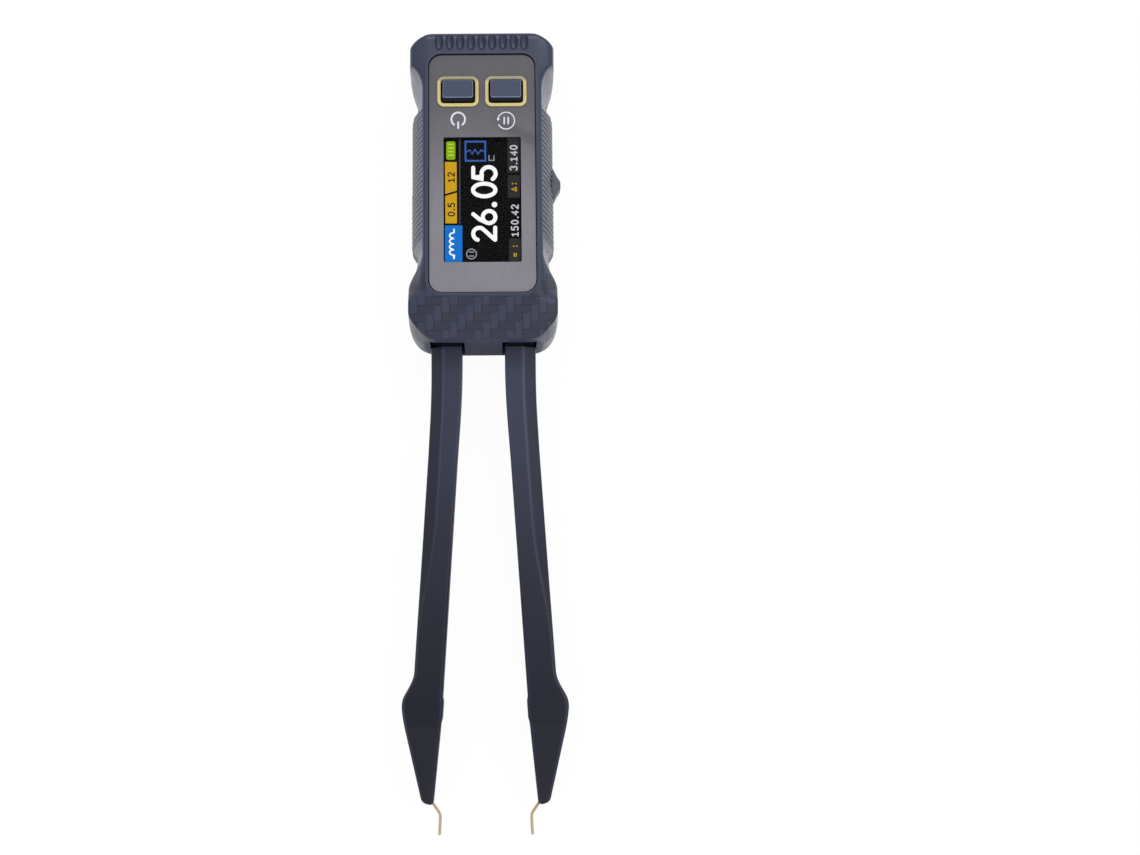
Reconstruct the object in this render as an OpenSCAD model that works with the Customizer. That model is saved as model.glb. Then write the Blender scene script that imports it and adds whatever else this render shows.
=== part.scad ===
// Component tester in the form of tweezers. The case holds the screen, the board and the battery,
// and two sprung arms with gold contact pins grip the component under test.
// Frame: +Z up through the screen, +Y away from the contact pins, origin in the middle of the
// case's flat underside.

/* [Case] */
// Length of the case from the middle of the buttons to the head end
head_len = 12.45; // [12:0.05:14]
// Length of the case from the arm end to the display module
foot_len = 13.65; // [13:0.05:15]
// Height of the case at its deck
case_h = 17; // [16:0.1:19]
// Width of the flat deck on each side of the panel
deck_rim = 0.95; // [0.7:0.05:1.2]
// Width across the ribbed grips
grip_w = 28.3; // [27.9:0.1:29.5]
// Width across the waists beside the grips
waist_w = 26.5; // [26.3:0.1:27.6]
// Width across the ears at the head end
head_ear_w = 29.1; // [28.6:0.1:30]
// Width across the ears at the arm end
arm_ear_w = 29.5; // [28.8:0.1:30]
// Width of both end faces between the corner chamfers
end_w = 21.6; // [20:0.1:22.5]
// Height of the split between the two shells
split_z = 7; // [6.6:0.1:7.4]
// Wall thickness of the shells
wall = 1.6; // [1.2:0.1:1.7]
// Thickness of the floor
floor_t = 1.6; // [1.3:0.1:1.8]
// Thickness of the deck
deck_t = 2.6; // [2.4:0.1:2.8]
// Fall of the deck from the panel to the arm end
deck_fall = 1.4; // [0.6:0.1:1.8]
// Radius of the rounded top edge at the head end
head_round = 1.6; // [1:0.1:2]
// Number of flutes across the head end
flute_count = 9; // [5:1:9]
// Distance from one flute to the next
flute_pitch = 2.11; // [1.9:0.01:2.2]
// Depth of each flute
flute_depth = 0.7; // [0.3:0.1:0.8]

/* [Grips] */
// Length of the ribbed stretch
rib_len = 26.6; // [16:0.1:31]
// Distance from one rib to the next, along the case
rib_pitch = 1.02; // [0.9:0.01:1.6]
// Width of the groove between two ribs
rib_groove = 0.5; // [0.3:0.05:0.6]
// Depth of that groove
rib_depth = 0.3; // [0.2:0.05:0.5]
// Angle by which the ribs slant, with their upper ends towards the head
rib_slant = 25; // [0:1:35]

/* [Panel] */
// Width of the panel plate
panel_w = 20.8; // [20:0.1:21]
// Distance from the head end of the case to the panel plate
panel_head = 4.9; // [4.6:0.05:5.6]
// Distance from the arm end of the case to the panel plate
panel_foot = 9.4; // [9:0.05:10.5]
// Corner radius of the panel plate
panel_r = 2.4; // [1.5:0.1:3.5]
// Thickness of the panel plate
panel_t = 0.8; // [0.5:0.1:0.9]
// Depth of the panel's face below the deck
panel_sink = 0.3; // [0.1:0.1:0.4]

/* [Screen] */
// Width of the window in the panel
window_w = 15.2; // [14.5:0.1:15.5]
// Length of the window in the panel
window_len = 25.2; // [24.5:0.1:25.6]
// Thickness of the clear window
window_t = 0.7; // [0.4:0.1:0.8]
// Width of the display module
lcd_w = 17.6; // [17:0.1:17.8]
// Length of the display module
lcd_len = 31; // [30:0.1:31.4]
// Thickness of the display glass
lcd_t = 1.6; // [1.2:0.1:1.8]
// Thickness of the backlight frame
backlight_t = 1.8; // [1.2:0.1:2.2]
// Lower border between the window and the edge of the display module
lcd_border = 1.7; // [1.4:0.1:2]

/* [Buttons] */
// Distance between the middles of the two buttons
button_spacing = 9.44; // [9:0.01:9.8]
// Distance from the display module to the middle of the buttons
button_off = 5.2; // [4.8:0.05:6]
// Width of a button
button_w = 6.2; // [5.6:0.1:6.4]
// Length of a button
button_len = 4.25; // [3.8:0.05:4.5]
// Height of a button above the deck
button_proud = 0.9; // [0.5:0.1:1.2]
// Travel of a button
button_travel = 0.35; // [0.2:0.05:0.45]
// Width of the bezel's rim around a button
bezel_rim = 0.67; // [0.5:0.01:0.8]
// Gap between a button and its bezel
button_gap = 0.3; // [0.2:0.05:0.4]
// Side of the square push switch under a button
switch_side = 4.5; // [4:0.1:5]
// Height of the push switch's housing
switch_h = 3.4; // [2.8:0.1:3.8]
// Radius of the push switch's plunger
plunger_r = 1.2; // [0.9:0.1:1.4]

/* [Jog switch] */
// Place of the jog switch along the case
jog_y = 1.55; // [-1:0.05:2]
// Length of the jog cap's base
jog_len = 7.2; // [6.8:0.1:8]
// Length of the jog cap's flat top
jog_flat = 1.4; // [1:0.1:2.4]
// Height of the jog cap
jog_h = 3.2; // [2.8:0.1:3.6]
// Distance from the middle of the case to the jog cap's flat top
jog_reach = 15.6; // [15.3:0.1:15.9]
// Travel of the jog cap when pressed
jog_travel = 0.5; // [0.3:0.1:0.6]
// Gap around the jog cap in its opening
jog_gap = 0.35; // [0.3:0.05:0.5]

/* [Arms] */
// Width of the gap between the two arms where they leave the case
arm_gap = 8.48; // [8:0.02:9]
// Width of an arm where it leaves the case
arm_w = 6.1; // [5.8:0.1:6.3]
// Width of an arm before its bulge
arm_slim_w = 5.7; // [5.3:0.1:6]
// Distance from the end of the case to the end of an arm's plastic
arm_len = 88.5; // [84:0.1:92]
// Distance from the end of the case to the widest place of the bulge
bulge_at = 70.7; // [69:0.1:72]
// How far the bulge stands out of an arm
bulge_out = 2.4; // [1.5:0.05:2.6]
// Angle by which each arm splays outward
splay = 3.65; // [3:0.05:4]
// Height of an arm's underside above the table
arm_bottom = 2.1; // [2:0.1:2.6]
// Thickness of an arm
arm_t = 7.9; // [7:0.1:8]
// Width of the slanted facet on an arm's outer side
facet_w = 2.7; // [1.5:0.1:3]
// Distance of the pivot from the end of the case, inside it
pivot_in = 4.4; // [4.2:0.1:5]
// Radius of a pivot pin
pivot_r = 1; // [0.8:0.05:1.1]

/* [Contacts] */
// Radius of a contact pin
contact_r = 0.275; // [0.2:0.005:0.35]
// Length of the straight free end of a contact pin
contact_len = 3.9; // [3:0.1:5]
// Distance between the two contact pins at their ends
contact_gap = 17.8; // [17:0.1:19]
// Radius of the socket that holds a contact pin
socket_r = 0.85; // [0.7:0.05:0.9]
// Thickness of the contact strip in an arm
strip_t = 0.6; // [0.3:0.1:0.8]
// Width of the contact strip in an arm
strip_w = 2.2; // [1.6:0.1:2.4]

/* [Board] */
// Gap between the main board and the wall at the waists
board_gap = 0.65; // [0.5:0.05:1]
// Thickness of the main board
board_t = 0.8; // [0.6:0.1:1]
// Gap between the battery and the main board
board_lift = 0.6; // [0.4:0.05:0.8]
// Width of the USB-C socket
usb_w = 8.94; // [8.8:0.01:9.1]
// Height of the USB-C socket
usb_h = 3.2; // [3.1:0.05:3.3]
// Depth of the USB-C socket
usb_len = 7.3; // [6.8:0.1:8]

/* [Battery] */
// Width of the battery cell
battery_w = 16; // [14:0.1:16.2]
// Length of the battery cell
battery_len = 32; // [28:0.1:32.4]
// Thickness of the battery cell
battery_t = 3.2; // [2.8:0.1:3.6]
// Thickness of the foam pad under the battery
pad_t = 0.6; // [0.3:0.1:0.7]

/* [Fasteners] */
// Radius of a case screw's shank
case_screw_r = 1; // [0.9:0.05:1.1]
// Radius of a case screw's head
case_head_r = 1.8; // [1.6:0.05:1.9]
// Radius of a small screw's shank
small_screw_r = 0.8; // [0.7:0.05:0.85]
// Radius of a small screw's head
small_head_r = 1.15; // [1.1:0.05:1.25]

/* [Hidden] */
$fn = 72;
edge = 0.4;            // small rounding on moulded edges
fit = 0.2;             // gap around the panel in its recess
run = 0.03;            // radial clearance of an arm on its pivot pin
snug = 0.15;           // clearance of parts that drop into a pocket
bite = 0.1;            // how much a screw thread cuts into its hole
over = 1;              // overshoot of cutting tools

case_len = foot_len + lcd_len + button_off + head_len;
half = case_len / 2;
battery_z = floor_t + pad_t;
board_z = battery_z + battery_t + board_lift;
board_top = board_z + board_t;
jog_z = board_top + jog_h / 2;
wide_z = jog_z + jog_h / 2 + jog_gap + 0.05;   // the case is widest from here down, over the jog switch
low_z = 4;             // below this the sides turn in to the floor
shoulder_z0 = case_h - 0.7;    // height of the shoulder line
ear_dip = 2.4;         // how far the shoulder line dips where the arm ears begin
deck_x0 = panel_w / 2 + deck_rim;
side_x = deck_x0 + 0.6;        // shoulder line along the grips
head_ear_y = half - 7.1;       // the head ears end here
head_arc_y = half - 11.1;      // and their scoops run out at the deck here
head_waist_y = half - 12.9;
head_grip_y = half - 17.6;
arm_grip_y = -half + 19.5;
arm_waist_y = -half + 18;
arm_neck_y = -half + 14.3;      // the arm ears start to swell here
arm_flare_y = -half + 17;      // the arm ears' scoops run out at the deck here
arm_ear_y = -half + 10.3;
rib_y = 2;                     // middle of the ribbed stretch
rib_count = floor(rib_len / rib_pitch);
head_chamfer = 3.1;            // length of the corner chamfers along the case
arm_chamfer = 5.5;
deck_bend_y = -half + 8.5;     // the deck starts to fall here
lip_back = 0.4;                // how far the upper lip stays behind the lower wall
lip_len = 7;                   // stretch over which it leans back

panel_len = case_len - panel_head - panel_foot;
panel_y = (panel_foot - panel_head) / 2;
panel_z = case_h - panel_sink;
panel_back = panel_z - panel_t;
deck_under = case_h - deck_t;
lcd_z = panel_back - lcd_t;
lcd_y = -half + foot_len + lcd_len / 2;
lcd_y1 = lcd_y + lcd_len / 2;
window_y = -half + foot_len + lcd_border + window_len / 2;
button_y = lcd_y1 + button_off;
board_w = waist_w - 2 * (wall + board_gap);
board_y1 = half - 4;

button_top = case_h + button_proud;
bezel_w = button_w + 2 * (button_gap + bezel_rim);
bezel_len = button_len + 2 * (button_gap + bezel_rim);
bezel_t = 0.3;         // height of the bezel's rim above the panel
neck_t = 0.32;         // wall of the bezel's neck
flange = 1.2;          // how far a button's flange reaches past it
flange_t = 0.6;
flange_z = deck_under - 0.1 - flange_t;
plunger_out = 0.6;     // how far the plunger stands out of its switch
stem_z = board_top + switch_h + plunger_out;
plunger_z = board_top + switch_h - 0.9;

jog_pivot_x = jog_reach - 2.9;
jog_back_x = jog_pivot_x - 0.45;     // back of the jog cap
jog_body_x = jog_back_x - jog_travel - 0.75;     // outer face of the jog switch's housing
jog_slide_in = 1.5;     // how far the slider reaches into the housing
jog_body_len = 6.4;
jog_body_d = 4.4;
jog_pin_r = 0.35;
flex_w = 8;

arm_x = arm_gap / 2 + arm_w / 2;
arm_z = arm_bottom + arm_t / 2;        // split between an arm's two halves
arm_top = arm_bottom + arm_t;
arm_y0 = -half + pivot_in - 1.3;       // the arms start here, beside the pivot
arm_y1 = -half - arm_len;
pivot_y = -half + pivot_in;
eye_r = arm_w / 2 - 0.15;
bend_y = -half - 3;    // the arms bend outward over this stretch
bend_len = 12;
bulge_y = -half - bulge_at;
slot_play = 0.35;      // room for an arm in the end wall
slot_top = 13;
core_y0 = bend_y - 8;
core_y1 = bulge_y + 8;
strip_z = arm_z - strip_t;
strip_off = 1.2;       // the strip runs this far inside the arm's middle line
strip_y1 = arm_y1 + 10.2;

tip_x = contact_gap / 2;
tip_y = arm_y1 - 1.9 - contact_len;
tip_lean = 3;          // the free ends lean outward, so they are parallel when closed
elbow = [tip_x - contact_len * sin(tip_lean), tip_y + contact_len * cos(tip_lean)];
heel = [elbow[0] + 2.2, elbow[1] + 3.1];
socket_len = 7.4;
contact_top = [heel[0] - 0.3, heel[1] + 6.9];

board_y0 = pivot_y + eye_r + 1.1;
board_neck = 2 * (arm_x - 0.29);       // width of the board between the lower screws

terminal_z = arm_top + 0.4;
terminal_t = 0.4;
terminal_r = pivot_r + 1.1;
wire_r = 0.22;
coil_r = pivot_r + 0.5;
coil_pitch = 0.5;
coil_turns = 3.25;
coil_z = terminal_z + terminal_t + wire_r;
leg_out = 3.1;         // how far the spring's leg reaches from the pivot
boss_z = coil_z + coil_turns * coil_pitch + wire_r + 0.1;
pivot_top = boss_z + 0.7;

case_boss_r = case_head_r + 0.7;
head_screw = [10.2, half - 4.6];
board_tab = 2 * (head_screw[0] - case_boss_r - 0.3);   // width of the board's tab under the USB socket
chip_side = 7;
chip_t = 0.9;
small_chip_w = 2.6;
small_chip_len = 3;
part_w = 1;            // small chip capacitors and resistors
part_len = 1.6;
part_pitch = 2.3;
coil_side = 4;         // shielded choke
board_shoulder = head_screw[1] - case_boss_r - 0.3;
arm_screw = [9.9, pivot_y + eye_r + case_head_r + 1.2];
case_screws_at = [for (s = [-1, 1]) for (p = [head_screw, arm_screw]) [s * p[0], p[1]]];
head_sink = 1.5;       // depth of the recess for a case screw's head
case_thread = 4.2;     // length of thread in the upper boss
board_screws_at = [for (s = [-1, 1]) for (y = [button_y + 2.2, arm_screw[1] + 5.65])
    [s * (board_w / 2 - 1.5), y]];
small_head_t = 0.8;
case_head_t = 1.1;
board_thread = 3.4;    // length of a board screw in its post
battery_y = 1.4;

shell_colour = [0.25, 0.27, 0.34];
button_colour = [0.31, 0.33, 0.41];
panel_colour = [0.48, 0.48, 0.51];
gold_colour = [0.78, 0.63, 0.36];
steel_colour = [0.72, 0.73, 0.75];
board_colour = [0.07, 0.3, 0.18];

// ---- small helpers ----

function clamp01(t) = min(1, max(0, t));
function ease(t) = (1 - cos(180 * clamp01(t))) / 2;
// Smooth change from va at a to vb at b
function glide(y, a, b, va, vb) = va + (vb - va) * ease((y - a) / (b - a));
// The smaller of two values, with the corner between them rounded over k
function soft_min(a, b, k) = min(a, b) - pow(max(k - abs(a - b), 0), 2) / (4 * k);
function mix(a, b, t) = a + (b - a) * t;
// n places from a towards b, without b itself
function span(a, b, n) = [for (i = [0:n - 1]) a + (b - a) * i / n];

function round_rect(w, l, r, n = 6) = [
    for (q = [0:3]) for (i = [0:n])
        let (a = 90 * (q + i / n),
             cx = (q == 0 || q == 3 ? 1 : -1) * (w / 2 - r),
             cy = (q < 2 ? 1 : -1) * (l / 2 - r))
        [cx + r * cos(a), cy + r * sin(a)]];

module slab(w, l, r, z0, z1) {
    translate([0, 0, z0])
        linear_extrude(z1 - z0)
            polygon(round_rect(w, l, r));
}

module block(x0, x1, y0, y1, z0, z1) {
    translate([x0, y0, z0])
        cube([x1 - x0, y1 - y0, z1 - z0]);
}

module rod(p, r, z0, z1) {
    translate([p[0], p[1], z0])
        cylinder(r = r, h = z1 - z0);
}

// Draws for the right side, or mirrored for the left
module on_side(s) {
    mirror([s < 0 ? 1 : 0, 0, 0])
        children();
}

// Triangles of the wall between rings: n rings of m points
function wall_faces(n, m) = [
    for (i = [0:n - 2]) for (j = [0:m - 1]) let (k = (j + 1) % m)
        each [[i * m + j, (i + 1) * m + j, (i + 1) * m + k], [i * m + j, (i + 1) * m + k, i * m + k]]];

// A closed skin over rings that run down one side and up the other. The ends are ladders of rungs.
module loft(rings) {
    n = len(rings);
    m = len(rings[0]);
    ladder = [for (j = [0:m / 2 - 2]) each [[j, j + 1, m - 2 - j], [j, m - 2 - j, m - 1 - j]]];
    end = [for (f = ladder) [for (q = [2:-1:0]) f[q] + (n - 1) * m]];
    polyhedron(points = [for (ring = rings) each ring], faces = concat(wall_faces(n, m), ladder, end));
}

// A closed skin over convex rings, such as those of a wire. The ends are fans.
module sweep(rings) {
    n = len(rings);
    m = len(rings[0]);
    fan = [for (j = [1:m - 2]) [0, j, j + 1]];
    end = [for (f = fan) [for (q = [2:-1:0]) f[q] + (n - 1) * m]];
    polyhedron(points = [for (ring = rings) each ring], faces = concat(wall_faces(n, m), fan, end));
}

// ---- case outline ----

// Height of the deck at a place along the case
function deck_z(y) =
    let (d = y - (half - head_round))
    y < deck_bend_y ? case_h - deck_fall * (deck_bend_y - y) / (deck_bend_y + half) :
    d > 0 ? case_h - head_round + sqrt(max(0, head_round * head_round - d * d)) : case_h;

// Half width where the corner chamfer cuts the outline: straight above, rounder below
function corner_x(y, full, low) =
    let (chamfer = y > 0 ? head_chamfer : arm_chamfer,
         t = clamp01((abs(y) - half + chamfer) / chamfer),
         line = mix(full + 0.2, end_w / 2, t),
         arc = end_w / 2 + (full + 0.2 - end_w / 2) * sqrt(1 - t * t))
    mix(line, arc, 0.7 * low);

// Half width of the case at its widest height
function wide_x(y) =
    let (ear = (y > 0 ? head_ear_w : arm_ear_w) / 2,
         free = y > head_waist_y ? glide(y, head_waist_y, head_ear_y, waist_w / 2, ear) :
                y > 0 ? glide(y, head_grip_y, head_waist_y, grip_w / 2, waist_w / 2) :
                y > arm_waist_y ? glide(y, arm_grip_y, arm_waist_y, grip_w / 2, waist_w / 2) :
                glide(y, arm_neck_y, arm_ear_y, waist_w / 2, ear))
    soft_min(free, corner_x(y, ear, 1), 0.6);

// Half width of the case at its shoulder
function shoulder_x(y) =
    let (ear = (y > 0 ? head_ear_w : arm_ear_w) / 2 - 0.15,
         t = clamp01((y - head_arc_y) / (head_ear_y - head_arc_y)),
         free = y > 0 ? mix(side_x, ear, 1 - sqrt(1 - t * t)) :
                glide(y, arm_flare_y, arm_ear_y, side_x, ear))
    soft_min(free, corner_x(y, ear, 0), 0.8);

// Height of the shoulder, which dips where the arm ears begin and rises again towards the end
function shoulder_z(y) =
    let (fall = ease((arm_flare_y - y) / (arm_flare_y - arm_ear_y - 1)),
         dip = fall * (1 - ease((arm_ear_y + 1 - y) / 4.6)))
    min(shoulder_z0 - ear_dip * dip, deck_z(y) - 0.7);

function deck_x(y) = soft_min(deck_x0, corner_x(y, deck_x0 + 3.2, 0) - 0.5, 0.5);

// One cross-section of the case, set in by a wall, a deck thickness and a floor thickness
function case_ring(y, w, d, f) =
    let (zt = deck_z(y) - d,
         zs = min(shoulder_z(y) - w * 0.7, zt - 0.5),
         xd = deck_x(y) - w,
         xs = max(shoulder_x(y) - w, xd + 0.1),
         xw = wide_x(y) - w,
         side = [[xd - edge, zt], [xd, zt - 0.3], [xs - 0.3, zs + 0.15], [xs, zs - 0.15],
             [mix(xs, xw, 0.55), mix(zs, wide_z, 0.5)], [xw, wide_z - 0.4], [xw - 0.05, low_z],
             [xw - 0.4, max(f + 0.4, 1.2)], [xw - 1.2, f]],
         lean = lip_back * clamp01((-half + lip_len - y) / lip_len),
         right = [for (p = side)
             [p[0], y * (half - w) / half + lean * clamp01((p[1] - wide_z) / lip_len), p[1]]])
    concat(right, [for (j = [len(right) - 1:-1:0]) [-right[j][0], right[j][1], right[j][2]]]);

case_stations = concat(
    span(-half, -half + arm_chamfer + 0.4, 9),
    span(-half + arm_chamfer + 0.4, arm_waist_y - 0.3, 11),
    span(arm_waist_y - 0.3, arm_grip_y + 0.3, 4),
    span(arm_grip_y + 0.3, head_grip_y, 6),
    span(head_grip_y, head_ear_y + 0.2, 14),
    span(head_ear_y + 0.2, half - head_round, 7),
    span(half - head_round, half, 5), [half]);

module case_skin(w, d, f) {
    loft([for (y = case_stations) case_ring(y, w, d, f)]);
}

// ---- case shells ----

module arm_slots() {
    swing = 0.45;
    for (s = [-1, 1])
        on_side(s)
            block(arm_gap / 2 - swing - 0.2, arm_gap / 2 + arm_w + slot_play, -half - over,
                -half + wall + 2.4, arm_bottom - 0.4, slot_top);
}

module jog_opening() {
    block(jog_body_x - 0.4, half, jog_y - jog_len / 2 - jog_gap - 0.1, jog_y + jog_len / 2 + jog_gap + 0.1,
        jog_z - jog_h / 2 - jog_gap, jog_z + jog_h / 2 + jog_gap);
}

module usb_opening() {
    translate([0, half + over, board_top + usb_h / 2])
        rotate([90, 0, 0])
            slab(usb_w + 0.4, usb_h + 0.4, usb_h / 2, 0, 5 + over);
}

module flutes() {
    wheel = 5;
    r = 0.85;
    for (k = [0:flute_count - 1])
        translate([(k - (flute_count - 1) / 2) * flute_pitch, half - 1.55, case_h - flute_depth + wheel + r])
            rotate([0, 90, 0])
                rotate_extrude($fn = 64)
                    translate([wheel, 0])
                        circle(r = r, $fn = 24);
}

module deck_openings() {
    translate([0, panel_y, 0])
        slab(panel_w + 2 * fit, panel_len + 2 * fit, panel_r + fit, panel_back, case_h + over);
    translate([0, lcd_y, 0])
        slab(lcd_w + 0.4, lcd_len + 0.4, 0.6, deck_under - over, panel_back + over);
    block(-flex_w / 2 - 0.5, flex_w / 2 + 0.5, lcd_y, lcd_y1 + 1.7, deck_under - over, panel_back + over);
    for (s = [-1, 1])
        translate([s * button_spacing / 2, button_y, 0])
            slab(bezel_w - 0.3, bezel_len - 0.3, 0.9, deck_under - over, panel_back + over);
}

module top_shell() {
    color(shell_colour)
    difference() {
        union() {
            difference() {
                case_skin(0, 0, 0);
                case_skin(wall, deck_t, floor_t);
                arm_slots();
            }
            intersection() {
                case_skin(wall / 2, deck_t / 2, floor_t);
                union() {
                    for (p = case_screws_at)
                        rod(p, case_boss_r - 0.6, split_z, case_h);
                    for (s = [-1, 1])
                        rod([s * arm_x, pivot_y], pivot_r + 1.4, boss_z, case_h);
                }
            }
        }
        block(-half, half, -half - over, half + over, -over, split_z);
        deck_openings();
        jog_opening();
        usb_opening();
        flutes();
        grip_grooves();
        for (p = case_screws_at)
            rod(p, case_screw_r - bite, split_z - over, split_z + case_thread + 0.4);
        for (s = [-1, 1]) {
            rod([s * arm_x, pivot_y], pivot_r, boss_z - over, pivot_top);
            rod([s * (arm_x + coil_r), pivot_y], wire_r, boss_z - over, boss_z + 0.6);
        }
    }
}

module bottom_shell() {
    color(shell_colour)
    difference() {
        union() {
            difference() {
                case_skin(0, 0, 0);
                case_skin(wall, deck_t, floor_t);
                arm_slots();
                jog_opening();
                usb_opening();
                block(-half, half, -half - over, half + over, split_z, case_h + over);
            }
            intersection() {
                case_skin(wall / 2, deck_t, floor_t / 2);
                union() {
                    for (p = case_screws_at)
                        rod(p, case_boss_r, floor_t / 2, split_z);
                    for (s = [-1, 1])
                        rod([s * arm_x, pivot_y], pivot_r + 1.2, floor_t / 2, arm_bottom - 0.2);
                    for (p = board_screws_at)
                        rod(p, small_screw_r + 0.6, floor_t / 2, board_z);
                    for (y = [battery_y - battery_len / 2 - 1.2, battery_y + battery_len / 2 + 0.2])
                        block(-5, 5, y, y + 1, floor_t / 2, floor_t + 2.4);
                }
            }
        }
        grip_grooves();
        for (p = case_screws_at) {
            rod(p, case_screw_r + 0.1, -over, split_z + over);
            rod(p, case_head_r + 0.2, -over, head_sink);
        }
        for (p = board_screws_at)
            rod(p, small_screw_r - bite, board_z - board_thread - 0.4, board_z + over);
        for (s = [-1, 1])
            rod([s * arm_x, pivot_y], pivot_r, 0.7, arm_bottom);
    }
}

// Slanted grooves that leave ribs standing on both grips
module grip_grooves() {
    x = grip_w / 2;
    mid_z = mix(shoulder_z0, wide_z, 0.5);
    wall_line = [[side_x, shoulder_z0 - 0.15], [mix(side_x, x, 0.55), mid_z], [x, wide_z - 0.4],
        [x - 0.05, low_z]];
    // The grooves lean about their middle height, so their outline is stretched along the slant
    outline = concat([for (p = wall_line) [p[0] - rib_depth, (p[1] - mid_z) / cos(rib_slant)]],
        [for (z = [low_z - 2.2, shoulder_z0 + 0.9]) [x + 1, (z - mid_z) / cos(rib_slant)]],
        [[side_x, (shoulder_z0 + 0.9 - mid_z) / cos(rib_slant)]]);
    for (s = [-1, 1], k = [0:rib_count])
        on_side(s)
            translate([0, rib_y + (k - rib_count / 2) * rib_pitch, mid_z])
                rotate([90 - rib_slant, 0, 0])
                    linear_extrude(rib_groove, center = true)
                        polygon(outline);
}

// ---- panel, screen and buttons ----

module front_panel() {
    color(panel_colour)
    difference() {
        translate([0, panel_y, 0])
            slab(panel_w, panel_len, panel_r, panel_back, panel_z);
        translate([0, window_y, 0])
            slab(window_w, window_len, 0.3, panel_back - over, panel_z + over);
        for (s = [-1, 1])
            translate([s * button_spacing / 2, button_y, 0])
                slab(bezel_w - 2 * bezel_rim + 2 * neck_t + 0.1, bezel_len - 2 * bezel_rim + 2 * neck_t + 0.1,
                    0.9, panel_back - over, panel_z + over);
    }
}

module screen_window() {
    color([0.1, 0.1, 0.11, 0.5])
    translate([0, window_y, 0])
        slab(window_w - 0.1, window_len - 0.1, 0.25, panel_back, panel_back + window_t);
}

module lcd_glass() {
    color([0.06, 0.06, 0.07])
    translate([0, lcd_y, 0])
        slab(lcd_w, lcd_len, 0.4, lcd_z, panel_back);
}

module lcd_backlight() {
    color([0.85, 0.85, 0.83])
    translate([0, lcd_y, 0])
        slab(lcd_w - 0.2, lcd_len - 0.2, 0.5, lcd_z - backlight_t, lcd_z);
}

// The flat cable runs from the end of the glass down to the board
module lcd_flex() {
    y0 = lcd_y1;
    t = 0.15;
    color([0.75, 0.45, 0.12])
    translate([-flex_w / 2, 0, 0])
        rotate([90, 0, 90])
            linear_extrude(flex_w)
                polygon([[y0, panel_back - 0.6], [y0 + 0.8, panel_back - 0.9], [y0 + 1.1, board_top + 2],
                    [y0 + 0.7, board_top + t], [y0 - 2.6, board_top + t], [y0 - 2.6, board_top],
                    [y0 + 0.8, board_top], [y0 + 1.1 + t, board_top + 2], [y0 + 0.9 + t, panel_back - 0.8],
                    [y0, panel_back - 0.6 + t]]);
}

// Yellow bezel: a rim on the panel with a neck that goes down through it
module bezel(s) {
    color([0.84, 0.79, 0.5])
    translate([s * button_spacing / 2, button_y, 0])
        difference() {
            union() {
                slab(bezel_w, bezel_len, 1.3, panel_z, panel_z + bezel_t);
                slab(bezel_w - 2 * bezel_rim + 2 * neck_t, bezel_len - 2 * bezel_rim + 2 * neck_t, 0.85,
                    panel_back - 0.6, panel_z + bezel_t / 2);
            }
            slab(bezel_w - 2 * bezel_rim, bezel_len - 2 * bezel_rim, 0.6, deck_under, case_h + over);
        }
}

// Square cap with a flange that keeps it under the deck, and a stem down to the plunger
module button(s) {
    color(button_colour)
    translate([s * button_spacing / 2, button_y, 0]) {
        slab(button_w, button_len, 0.5, flange_z + flange_t / 2, button_top - 0.5);
        hull() {
            slab(button_w, button_len, 0.5, button_top - 0.6, button_top - 0.5);
            slab(button_w - 0.35, button_len - 0.65, 0.5, button_top - 0.1, button_top);
        }
        slab(button_w + flange, button_len + flange, 0.5, flange_z, flange_z + flange_t);
        translate([0, 0, stem_z])
            cylinder(r = plunger_r - 0.1, h = flange_z - stem_z + flange_t / 2);
    }
}

module push_switch(s) {
    color([0.16, 0.16, 0.17])
    translate([s * button_spacing / 2, button_y, 0])
        difference() {
            slab(switch_side, switch_side, 0.3, board_top, board_top + switch_h);
            translate([0, 0, plunger_z - button_travel - 0.3])
                cylinder(r = plunger_r + 0.12, h = switch_h);
        }
}

module plunger(s) {
    color([0.85, 0.3, 0.2])
    translate([s * button_spacing / 2, button_y, plunger_z])
        cylinder(r = plunger_r, h = stem_z - plunger_z);
}

// ---- jog switch ----

module jog_switch_body() {
    color([0.2, 0.2, 0.21])
    difference() {
        block(jog_body_x - jog_body_d, jog_body_x, jog_y - jog_body_len / 2, jog_y + jog_body_len / 2,
            board_top, board_top + jog_h - 0.5);
        block(jog_body_x - jog_slide_in - jog_travel - 0.2, jog_body_x + over, jog_y - 1.3, jog_y + 1.3,
            jog_z - 0.9, jog_z + 0.8);
    }
}

// The slider moves in and out of the switch and carries the cap's hinge pin
module jog_slider() {
    color([0.8, 0.8, 0.78]) {
        block(jog_body_x - jog_slide_in, jog_pivot_x + 0.2, jog_y - 1.2, jog_y + 1.2,
            jog_z - 0.8, jog_z + 0.7);
        rod([jog_pivot_x, jog_y], 0.7, jog_z - 0.8, jog_z + 0.7);
        rod([jog_pivot_x, jog_y], jog_pin_r, jog_z - 1.4, jog_z + 1.3);
    }
}

module jog_cap() {
    slope_x = jog_reach - 1.6;     // the sloping sides start here, in the wall
    near = [[jog_back_x, jog_len / 2 - 0.2], [slope_x, jog_len / 2], [jog_reach - 0.75, jog_flat / 2 + 1.1],
        [jog_reach - 0.25, jog_flat / 2 + 0.35], [jog_reach, jog_flat / 2 - 0.1]];
    far = [for (k = [len(near) - 1:-1:0]) [near[k][0], -near[k][1]]];
    color([0.33, 0.33, 0.36])
    difference() {
        translate([0, jog_y, jog_z - jog_h / 2])
            linear_extrude(jog_h)
                polygon(concat(near, far));
        block(jog_back_x - over, jog_pivot_x + 1.1, jog_y - 1.55, jog_y + 1.55, jog_z - 1.05, jog_z + 0.95);
        rod([jog_pivot_x, jog_y], jog_pin_r + 0.04, jog_z - 1.5, jog_z + 1.4);
    }
}

// ---- board, USB socket and battery ----

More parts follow.
